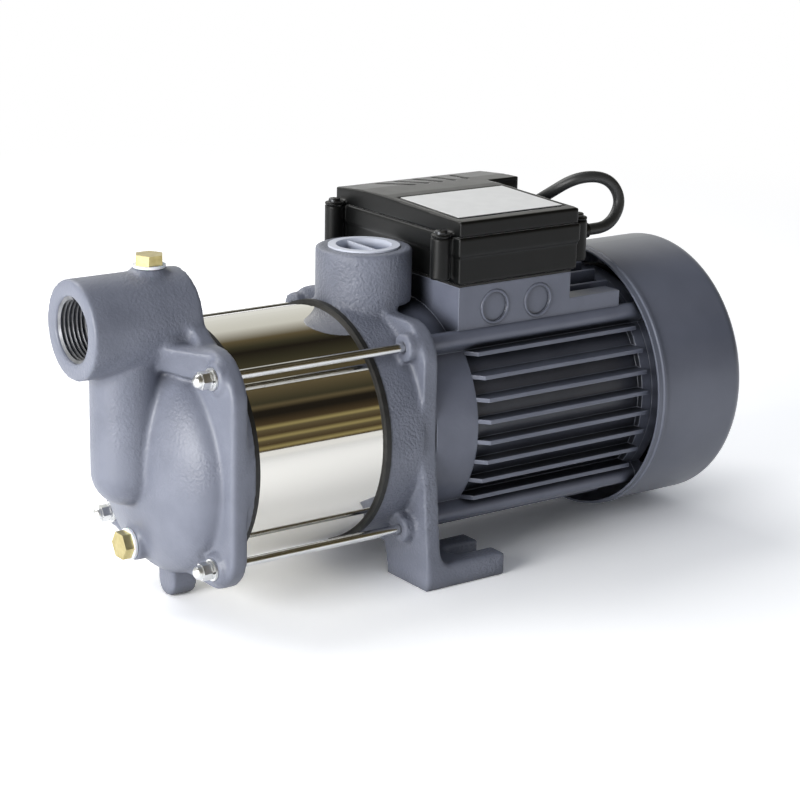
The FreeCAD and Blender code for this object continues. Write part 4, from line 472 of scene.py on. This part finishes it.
# %% Table
TABLE_SIZE = 12.0
PAPER_WHITE = 0.88
PAPER_SEEN = 1.42
FADE_START = 0.45
FADE_END = 1.3
bpy.ops.mesh.primitive_plane_add(size=TABLE_SIZE, location=(0.0, 0.0, 0.0))
table = bpy.context.active_object
table.name = "table"
paper = bpy.data.materials.new("matt_white_paper")
paper.use_nodes = True
tree = paper.node_tree
tree.nodes.clear()
ray = add_node(tree, "ShaderNodeLightPath")
shown = add_node(tree, "ShaderNodeMath", {"operation": "MAXIMUM"}, None,
                 {0: ray.outputs["Is Camera Ray"], 1: ray.outputs["Is Glossy Ray"]})
shown = add_node(tree, "ShaderNodeMath", {"operation": "MAXIMUM"}, None,
                 {0: shown.outputs[0], 1: ray.outputs["Is Transmission Ray"]})
white = add_node(tree, "ShaderNodeMapRange", None, {"To Min": PAPER_WHITE, "To Max": PAPER_SEEN},
                 {"Value": shown.outputs[0]})
matt = add_node(tree, "ShaderNodeBsdfDiffuse", links={"Color": white.outputs[0]})
# away from the pump the paper fades to plain white, so that the table shows no edge
place = add_node(tree, "ShaderNodeTexCoord")
away = add_node(tree, "ShaderNodeVectorMath", {"operation": "LENGTH"}, None, {0: place.outputs["Object"]})
fade = add_node(tree, "ShaderNodeMapRange", {"interpolation_type": "SMOOTHSTEP"},
                {"From Min": FADE_START, "From Max": FADE_END}, {"Value": away.outputs["Value"]})
fade = add_node(tree, "ShaderNodeMath", {"operation": "MULTIPLY"}, None,
                {0: fade.outputs[0], 1: shown.outputs[0]})
glow = add_node(tree, "ShaderNodeEmission")
both = add_node(tree, "ShaderNodeMixShader", None, None,
                {0: fade.outputs[0], 1: matt.outputs[0], 2: glow.outputs[0]})
add_node(tree, "ShaderNodeOutputMaterial", links={"Surface": both.outputs[0]})
table.data.materials.append(paper)
print("table", TABLE_SIZE, "m wide, white from", FADE_END, "m on")

# %% World: the angle from the front horizon over the top to the back picks the room's colour
FILL = 0.4
FILL_COLOUR = "#e9edf4"
HALF_TURN = 180.0
STRIP = "#a89a68"
WALL = "#4e412e"
LIT_WALL = "#665b43"
DIM_WALL = "#3f3c2d"
BEAM = "#24201a"
SCREEN = "#e1e0d8"
WHITE_SCREEN = "#eeeee8"
ROOM = [
    (0, WALL), (2, STRIP), (5, WALL), (9, LIT_WALL), (11, STRIP), (14, WALL), (19, LIT_WALL), (21, STRIP),
    (24, WALL), (32, BEAM), (37, BEAM), (41, LIT_WALL), (44, DIM_WALL), (58, LIT_WALL), (86, DIM_WALL),
    (100, BEAM), (107, DIM_WALL), (116, LIT_WALL), (135, SCREEN), (165, WHITE_SCREEN),
]
world = bpy.data.worlds.new("studio")
world.use_nodes = True
bpy.context.scene.world = world
tree = world.node_tree
tree.nodes.clear()
place = add_node(tree, "ShaderNodeTexCoord")
axes = add_node(tree, "ShaderNodeSeparateXYZ", links={0: place.outputs["Generated"]})
front = add_node(tree, "ShaderNodeMath", {"operation": "MULTIPLY"}, {1: -1.0}, {0: axes.outputs["Y"]})
turned = add_node(tree, "ShaderNodeMath", {"operation": "ARCTAN2"}, None,
                  {0: axes.outputs["Z"], 1: front.outputs[0]})
share = add_node(tree, "ShaderNodeMath", {"operation": "DIVIDE"}, {1: math.pi}, {0: turned.outputs[0]})
room = add_node(tree, "ShaderNodeValToRGB", links={"Fac": share.outputs[0]})
stops = room.color_ramp.elements
for stop, (degrees, code) in zip(stops, (ROOM[0], ROOM[-1])):
    stop.position = degrees / HALF_TURN
    stop.color = colour(code)
for degrees, code in ROOM[1:-1]:
    stops.new(degrees / HALF_TURN).color = colour(code)
print("room of", len(stops), "bands")

# %% World: what each kind of ray sees
ray = add_node(tree, "ShaderNodeLightPath")
fill = add_node(tree, "ShaderNodeBackground", inputs={"Color": colour(FILL_COLOUR), "Strength": FILL})
mirror = add_node(tree, "ShaderNodeBackground", links={"Color": room.outputs["Color"]})
seen = add_node(tree, "ShaderNodeBackground", inputs={"Color": (1.0, 1.0, 1.0, 1.0)})
pick = add_node(tree, "ShaderNodeMixShader", None, None,
                {0: ray.outputs["Is Glossy Ray"], 1: fill.outputs[0], 2: mirror.outputs[0]})
pick = add_node(tree, "ShaderNodeMixShader", None, None,
                {0: ray.outputs["Is Camera Ray"], 1: pick.outputs[0], 2: seen.outputs[0]})
add_node(tree, "ShaderNodeOutputWorld", links={"Surface": pick.outputs[0]})
print("fill", FILL)


# %% Lamps
def soft_lamp(name, place, target, size, power):
    """A square area lamp aimed at a point."""
    data = bpy.data.lights.new(name, "AREA")
    data.size = size
    data.energy = power
    lamp = bpy.data.objects.new(name, data)
    lamp.location = place
    lamp.rotation_euler = (Vector(target) - Vector(place)).to_track_quat("-Z", "Y").to_euler()
    bpy.context.scene.collection.objects.link(lamp)
    print(name, power, "W,", size, "m wide")


MIDDLE = (-0.01, 0.0, 0.09)
soft_lamp("key", (-1.45, -0.32, 0.38), MIDDLE, size=0.8, power=26.0)
soft_lamp("back", (-0.35, 0.95, 1.3), MIDDLE, size=1.2, power=16.0)
bpy.context.scene.view_settings.view_transform = "Standard"

# %% [markdown]
# ## Finishes
# Each finish is named for what the real surface is and how it was made. The patterns are sized in
# real millimetres on Object coordinates, so they stay put when a part moves.
# Nearly every surface needs the same three things: a colour that drifts a little, a gloss that
# differs from place to place, and a grain that stands up from the surface. A flat colour has none of
# them, and looks like a computer's. Each of the three is a helper here. It is built on noise, whose
# scale is the number of lumps in a metre.

# %% A blank finish, and how it is put on
def start_finish(name, hex_code, roughness, metallic=0.0, others=None, stretch=None):
    """A Principled material with its plain values, and the coordinates that its patterns use."""
    made = bpy.data.materials.new(name)
    made.use_nodes = True
    tree = made.node_tree
    shader = tree.nodes["Principled BSDF"]
    plain = {"Base Color": colour(hex_code), "Roughness": roughness, "Metallic": metallic, **(others or {})}
    for key, value in plain.items():
        shader.inputs[key].default_value = value
    place = add_node(tree, "ShaderNodeTexCoord").outputs["Object"]
    if stretch:
        place = add_node(tree, "ShaderNodeMapping", None, {"Scale": stretch}, {"Vector": place}).outputs[0]
    return made, tree, shader, place


dressed = []


def dress(finish, nodes, pieces=()):
    """Puts a finish on CAD nodes, and on the pieces that were made here."""
    for name in nodes:
        for slot in NODES[name].material_slots:
            slot.material = finish
    for piece in pieces:
        piece.data.materials.clear()
        piece.data.materials.append(finish)
    dressed.extend(nodes)
    print(finish.name, "on", len(nodes), "nodes and", len(pieces), "pieces")


# %% Colour, gloss and grain
LUMPS_PER_METRE = 1000.0  # divided by a lump's size in millimetres
SHADE_FROM = 0.35  # nearly all of a noise's values lie between these two
SHADE_TO = 0.65
EDGE_SAMPLES = 6


def patchy_colour(tree, shader, place, dark, light, patch_mm):
    """The colour drifts between two shades, in patches of about this size."""
    patches = add_node(tree, "ShaderNodeTexNoise", None,
                       {"Scale": LUMPS_PER_METRE / patch_mm, "Detail": 3.0}, {"Vector": place})
    blend = add_node(tree, "ShaderNodeValToRGB", links={"Fac": patches.outputs[0]})
    ends = ((SHADE_FROM, dark), (SHADE_TO, light))
    for stop, (position, code) in zip(blend.color_ramp.elements, ends):
        stop.position = position
        stop.color = colour(code)
    tree.links.new(blend.outputs["Color"], shader.inputs["Base Color"])


def uneven_gloss(tree, shader, place, patch_mm, low, high, detail=3.0):
    """The roughness wanders between two values, in patches of about this size."""
    patches = add_node(tree, "ShaderNodeTexNoise", None,
                       {"Scale": LUMPS_PER_METRE / patch_mm, "Detail": detail}, {"Vector": place})
    spread = add_node(tree, "ShaderNodeMapRange", None, {"To Min": low, "To Max": high},
                      {"Value": patches.outputs[0]})
    tree.links.new(spread.outputs[0], shader.inputs["Roughness"])


def raised_grain(tree, shader, place, grain_mm, height_mm, strength, detail=3.0, edge_mm=0.0, coarse=None):
    """Lumps of about this size stand up from the surface. Edges are rounded off under them, which gives
    every edge a line of light, and a coarseness may make the grain fainter in places."""
    grain = add_node(tree, "ShaderNodeTexNoise", None,
                     {"Scale": LUMPS_PER_METRE / grain_mm, "Detail": detail}, {"Vector": place})
    if coarse is not None:
        grain = add_node(tree, "ShaderNodeMath", {"operation": "MULTIPLY"}, None,
                         {0: grain.outputs[0], 1: coarse})
    raised = add_node(tree, "ShaderNodeBump", None, {"Strength": strength, "Distance": height_mm * MM},
                      {"Height": grain.outputs[0]})
    if edge_mm:
        edges = add_node(tree, "ShaderNodeBevel", {"samples": EDGE_SAMPLES}, {"Radius": edge_mm * MM})
        tree.links.new(edges.outputs[0], raised.inputs["Normal"])
    tree.links.new(raised.outputs[0], shader.inputs["Normal"])


# %% [markdown]
# ## Painted castings
# The iron and the aluminium castings carry the same grey-blue enamel. Two marks are painted into its
# colour: painted shade at the bottom of every gap, and a painted highlight along every edge, where the
# paint also draws back thin and light. Both could be painted by hand on the mesh. Two shader nodes
# measure them instead: Ambient Occlusion says how closed in a point is, and the Bevel node's direction
# departs from the surface's own near an edge.

# %% Painted shade in gaps and painted highlights on edges
SKY_SAMPLES = 8
CLOSED_IN = 0.35
OPEN = 0.9
EDGE_STARTS = 0.99  # cosine of the angle between the two directions
EDGE_FULL = 0.85
EDGE_SHARE = 0.75


def paint_shade_in_gaps(tree, shader, reach_mm, deepest):
    """Painted shade: multiplies the colour by a little less than one where the surface sits deep in a gap."""
    source = shader.inputs["Base Color"].links[0].from_socket
    sky = add_node(tree, "ShaderNodeAmbientOcclusion", {"samples": SKY_SAMPLES}, {"Distance": reach_mm * MM})
    share = add_node(tree, "ShaderNodeMapRange", None,
                     {"From Min": CLOSED_IN, "From Max": OPEN, "To Min": deepest},
                     {"Value": sky.outputs["AO"]})
    mixed = add_node(tree, "ShaderNodeMix", {"data_type": "RGBA", "blend_type": "MULTIPLY"}, {0: 1.0},
                     {6: source, 7: share.outputs[0]})
    tree.links.new(mixed.outputs[2], shader.inputs["Base Color"])


def paint_edge_highlight(tree, shader, radius_mm, light):
    """Painted highlight: mixes in a lighter colour where the surface turns within this radius, and it also
    stands for paint thinning there.
    """
    source = shader.inputs["Base Color"].links[0].from_socket
    rounded = add_node(tree, "ShaderNodeBevel", {"samples": EDGE_SAMPLES}, {"Radius": radius_mm * MM})
    flat = add_node(tree, "ShaderNodeNewGeometry")
    turned = add_node(tree, "ShaderNodeVectorMath", {"operation": "DOT_PRODUCT"}, None,
                      {0: rounded.outputs[0], 1: flat.outputs["Normal"]})
    edge = add_node(tree, "ShaderNodeMapRange", None,
                    {"From Min": EDGE_STARTS, "From Max": EDGE_FULL, "To Max": EDGE_SHARE},
                    {"Value": turned.outputs["Value"]})
    mixed = add_node(tree, "ShaderNodeMix", {"data_type": "RGBA"}, {7: colour(light)},
                     {0: edge.outputs[0], 6: source})
    tree.links.new(mixed.outputs[2], shader.inputs["Base Color"])


# %% Enamel on sand-cast iron
# Alkyd enamel over grey iron: the sand's grain shows through the paint and breaks up every highlight.
# The real grain is about half a millimetre. It is drawn at three times that, so that it shows. The
# suction cover comes from a mould of finer sand than the bracket, so its grain is fainter.
FINE_SAND_X = -110.0
COARSE_SAND_X = -75.0
FINE_SAND = 0.45
ROUGH_PATCH_MM = 38.0
SMOOTH_BELOW = 0.4  # of the noise that makes the patches
ROUGH_ABOVE = 0.6
FAINTEST_PATCH = 0.3
finish, tree, shader, place = start_finish("enamel_on_sand_casting", "#6e727f",
                                           roughness=0.42, others={"IOR": 1.5})
patchy_colour(tree, shader, place, "#6a6e7b", "#757986", patch_mm=22.0)
# Painted shade darkens the gaps, and a painted highlight lightens the edges.
paint_shade_in_gaps(tree, shader, reach_mm=9.0, deepest=0.6)
paint_edge_highlight(tree, shader, radius_mm=1.2, light="#8f93a1")
patches = add_node(tree, "ShaderNodeTexNoise", None,
                   {"Scale": LUMPS_PER_METRE / ROUGH_PATCH_MM, "Detail": 1.0}, {"Vector": place})
rough_patch = add_node(tree, "ShaderNodeMapRange", None,
                       {"From Min": SMOOTH_BELOW, "From Max": ROUGH_ABOVE, "To Min": FAINTEST_PATCH},
                       {"Value": patches.outputs[0]})
axes = add_node(tree, "ShaderNodeSeparateXYZ", links={"Vector": place})
sand = add_node(tree, "ShaderNodeMapRange", None,
                {"From Min": FINE_SAND_X * MM, "From Max": COARSE_SAND_X * MM, "To Min": FINE_SAND},
                {"Value": axes.outputs["X"]})
coarse = add_node(tree, "ShaderNodeMath", {"operation": "MULTIPLY"}, None,
                  {0: rough_patch.outputs[0], 1: sand.outputs[0]})
raised_grain(tree, shader, place, grain_mm=1.5, height_mm=0.8, strength=1.0, detail=2.0, edge_mm=1.0,
             coarse=coarse.outputs[0])
dress(finish, ["suction_cover", "bracket"], [cover_casting, bracket_casting])

# %% Enamel on die-cast aluminium
# The same enamel over a smooth casting: only the spray's fine orange peel is left. The gaps between
# the fins get painted shade, nearly black, and the edges a painted highlight.
finish, tree, shader, place = start_finish("enamel_on_die_casting", "#666a78",
                                           roughness=0.3, others={"IOR": 1.5})
patchy_colour(tree, shader, place, "#616573", "#6b6f7d", patch_mm=25.0)
# Painted shade in the fin gaps, and a painted highlight on the edges.
paint_shade_in_gaps(tree, shader, reach_mm=12.0, deepest=0.1)
paint_edge_highlight(tree, shader, radius_mm=0.8, light="#9297a5")
raised_grain(tree, shader, place, grain_mm=2.2, height_mm=0.12, strength=0.8, edge_mm=0.9)
dress(finish, ["motor_housing", "rear_shield"], rims)

# %% Enamel on drawn sheet steel
# Smooth, with a wide soft orange peel.
finish, tree, shader, place = start_finish("enamel_on_sheet", "#646875", roughness=0.3, others={"IOR": 1.5})
patchy_colour(tree, shader, place, "#606471", "#686c79", patch_mm=40.0)
raised_grain(tree, shader, place, grain_mm=3.0, height_mm=0.05, strength=0.6, edge_mm=0.6)
dress(finish, ["fan_cover"])

# %% [markdown]
# ## Bare metals
# A metal has no colour under its gloss: what it reflects is its colour. So it is told apart by its
# tint, by how far it scatters, and by the marks of its making, such as hairlines from a belt or
# the cloud of a zinc bath. Hairlines are lumps of noise that are stretched round the shaft by a
# Mapping node, because real ones run the way the work turned.

# %% Polished stainless
# A tube polished while it turned: nearly a mirror, with hairlines round the tube.
finish, tree, shader, place = start_finish("polished_stainless", "#dcdad4", roughness=0.04, metallic=1.0,
                                           stretch=(3.0, 0.05, 0.05))
uneven_gloss(tree, shader, place, patch_mm=1.0, low=0.02, high=0.08, detail=2.0)
dress(finish, ["pump_shell"])

# %% Bright zinc
# Zinc-plated drawn rod: pale grey, smooth and bright, with faint cloudy patches.
finish, tree, shader, place = start_finish("bright_zinc", "#d0d1d2", roughness=0.2, metallic=1.0)
patchy_colour(tree, shader, place, "#cacbcc", "#d6d7d8", patch_mm=14.0)
uneven_gloss(tree, shader, place, patch_mm=14.0, low=0.17, high=0.24)
dress(finish, ["tie_rods", "plug_pins", "fan_clip"])

# %% Dull zinc
# Zinc on small pressed and turned parts: tumbled in the bath, so it scatters light more than the rod.
finish, tree, shader, place = start_finish("dull_zinc", "#dcdddd", roughness=0.34, metallic=1.0)
patchy_colour(tree, shader, place, "#d4d5d5", "#e2e3e3", patch_mm=6.0)
uneven_gloss(tree, shader, place, patch_mm=6.0, low=0.3, high=0.4)
dress(finish, ["acorn_nuts", "flat_washers", "spring_washers", "through_bolts", "cover_screws",
               "earth_screw"])

# %% Blackened steel
# Small screws blackened in a hot salt bath: dark, with an oily sheen.
finish, tree, shader, place = start_finish("blackened_steel", "#4b4c4e", roughness=0.38, metallic=1.0)
patchy_colour(tree, shader, place, "#434446", "#545557", patch_mm=2.0)
dress(finish, ["lid_screws"], lid_heads)

# %% Turned steel
# Machined steel: bright, with fine rings from the lathe round the shaft. The rings are drawn at
# nearly a millimetre, where real ones are a tenth of that, so that they show.
finish, tree, shader, place = start_finish("turned_steel", "#b9babb",
                                           roughness=0.3, metallic=1.0, stretch=(1.0, 0.02, 0.02))
raised_grain(tree, shader, place, grain_mm=0.8, height_mm=0.01, strength=0.4, detail=1.0)
dress(finish, ["shaft", "impeller_nut", "nut_washer", "front_bearing_outer", "rear_bearing_outer",
               "bearing_inners", "wave_washer", "spacer_sleeves", "stage_casings"])

# %% Machined thread
# Iron cut by a tap and left bare inside the port: grey, and darker where cutting oil stayed.
finish, tree, shader, place = start_finish("machined_thread", "#77787b", roughness=0.36, metallic=0.7)
patchy_colour(tree, shader, place, "#68696c", "#828386", patch_mm=5.0)
dress(finish, [], [suction_thread, discharge_thread])

# %% Pale brass
# Free-cutting brass, freshly machined.
finish, tree, shader, place = start_finish("pale_brass", "#bcae7a", roughness=0.3, metallic=1.0)
patchy_colour(tree, shader, place, "#b3a56f", "#c6b986", patch_mm=4.0)
dress(finish, ["impellers", "priming_plug", "drain_plug"])

# %% Enamelled copper
# Copper wire under clear winding enamel, laid in bundles round the end turns.
finish, tree, shader, place = start_finish("enamelled_copper", "#a4552c", roughness=0.35, metallic=1.0,
                                           stretch=(1.0, 0.15, 0.15))
raised_grain(tree, shader, place, grain_mm=1.2, height_mm=0.4, strength=0.8, detail=2.0)
dress(finish, ["windings"])

# %% Laminated steel
# Stacked electrical steel, seen as lines round the core. The sheets are half a millimetre thick. They
# are drawn as bands of six millimetres, coarse enough to show on a core this size: a wave's band is
# 0.314 m divided by its scale.
STACK_SCALE = 50.0
finish, tree, shader, place = start_finish("laminated_steel", "#6d6f73", roughness=0.45, metallic=1.0)
sheets = add_node(tree, "ShaderNodeTexWave", {"wave_type": "BANDS", "bands_direction": "X"},
                  {"Scale": STACK_SCALE}, {"Vector": place})
raised = add_node(tree, "ShaderNodeBump", None, {"Strength": 0.6, "Distance": 0.05 * MM},
                  {"Height": sheets.outputs[1]})
tree.links.new(raised.outputs[0], shader.inputs["Normal"])
dress(finish, ["stator_core", "rotor_core"])

# %% [markdown]
# ## Plastics, rubber and ceramic
# None of these is black or white all through. Glass-filled black plastic looks grey where light skims
# its sparked skin, which is what the shader's Sheen does. Polyethylene lets light in and out again,
# which is Subsurface. Both are set as constants, because the export can bake only those.

# %% Spark-textured plastic
# Black glass-filled plastic from a spark-eroded mould: an even fine grain that dulls the gloss.
finish, tree, shader, place = start_finish(
    "spark_textured_plastic", "#0b0c0c", roughness=0.4,
    others={"IOR": 1.5, "Specular IOR Level": 0.26, "Sheen Weight": 0.36, "Sheen Roughness": 0.22})
raised_grain(tree, shader, place, grain_mm=0.8, height_mm=0.05, strength=0.6, detail=2.0, edge_mm=0.35)
uneven_gloss(tree, shader, place, patch_mm=12.0, low=0.34, high=0.46)
dress(finish, ["box_base", "box_lid", "cooling_fan", "capacitor", "cable_gland", "plug"], [lid, box])

# %% Moulded rubber
# Black nitrile rubber: dull, with a faint grey bloom.
finish, tree, shader, place = start_finish("moulded_rubber", "#161616", roughness=0.6, others={"IOR": 1.52})
patchy_colour(tree, shader, place, "#121212", "#1e1e1e", patch_mm=5.0)
dress(finish, ["front_gasket", "rear_gasket", "box_gasket", "seal_head"])

# %% Rubber sheath
# The lead's sheath: black rubber compound with a soft satin skin.
finish, tree, shader, place = start_finish("rubber_sheath", "#2e2f2f", roughness=0.45, others={"IOR": 1.52})
raised_grain(tree, shader, place, grain_mm=2.0, height_mm=0.03, strength=0.4)
dress(finish, [], [lead])

# %% Natural polyethylene
# Undyed plastic: milky white, and light soaks into it.
finish, tree, shader, place = start_finish(
    "natural_polyethylene", "#e4e7ec", roughness=0.38,
    others={"IOR": 1.51, "Subsurface Weight": 0.15, "Subsurface Scale": 0.002})
uneven_gloss(tree, shader, place, patch_mm=6.0, low=0.32, high=0.44)
dress(finish, ["plug_washers", "diffusers", "terminal_block"])

# %% Thin polyethylene
# The same plastic moulded thin, as in the thread cap: white at its rim, with painted shade on its floor,
# blue-grey, where the dark port would show through. The height in the cap picks the colour.
CAP_FLOOR = DISCHARGE_MOUTH.z - 5.0 * MM
CAP_RIM = DISCHARGE_MOUTH.z - 0.5 * MM
finish, tree, shader, place = start_finish("thin_polyethylene", "#dfe3ea",
                                           roughness=0.35, others={"IOR": 1.51})
# painted shade: the colour darkens towards the cap's floor
axes = add_node(tree, "ShaderNodeSeparateXYZ", links={"Vector": place})
painted_floor_shade = add_node(tree, "ShaderNodeMapRange", None, {"From Min": CAP_FLOOR, "From Max": CAP_RIM},
                  {"Value": axes.outputs["Z"]})
blend = add_node(tree, "ShaderNodeValToRGB", links={"Fac": painted_floor_shade.outputs[0]})
for stop, code in zip(blend.color_ramp.elements, ("#6f778c", "#d2d6e1")):
    stop.color = colour(code)
tree.links.new(blend.outputs["Color"], shader.inputs["Base Color"])
dress(finish, ["port_cap"])

# %% Silvered film
# The rating label: matt silver-grey polyester film, left bare.
finish, tree, shader, place = start_finish("silvered_film", "#dededd", roughness=0.42, others={"IOR": 1.5})
patchy_colour(tree, shader, place, "#dcdcdb", "#e1e1e0", patch_mm=9.0)
dress(finish, ["rating_label"])

# %% Sintered ceramic
# The seal's seat is alumina: dense, off-white and smooth.
finish, tree, shader, place = start_finish("sintered_ceramic", "#e6e1d4", roughness=0.2, others={"IOR": 1.76})
patchy_colour(tree, shader, place, "#e0dbcd", "#ebe7dc", patch_mm=4.0)
dress(finish, ["seal_seat"])

# %% Which nodes were dressed
print(len(dressed), "nodes dressed, left to pieces:", sorted(set(NODES) - set(dressed)))
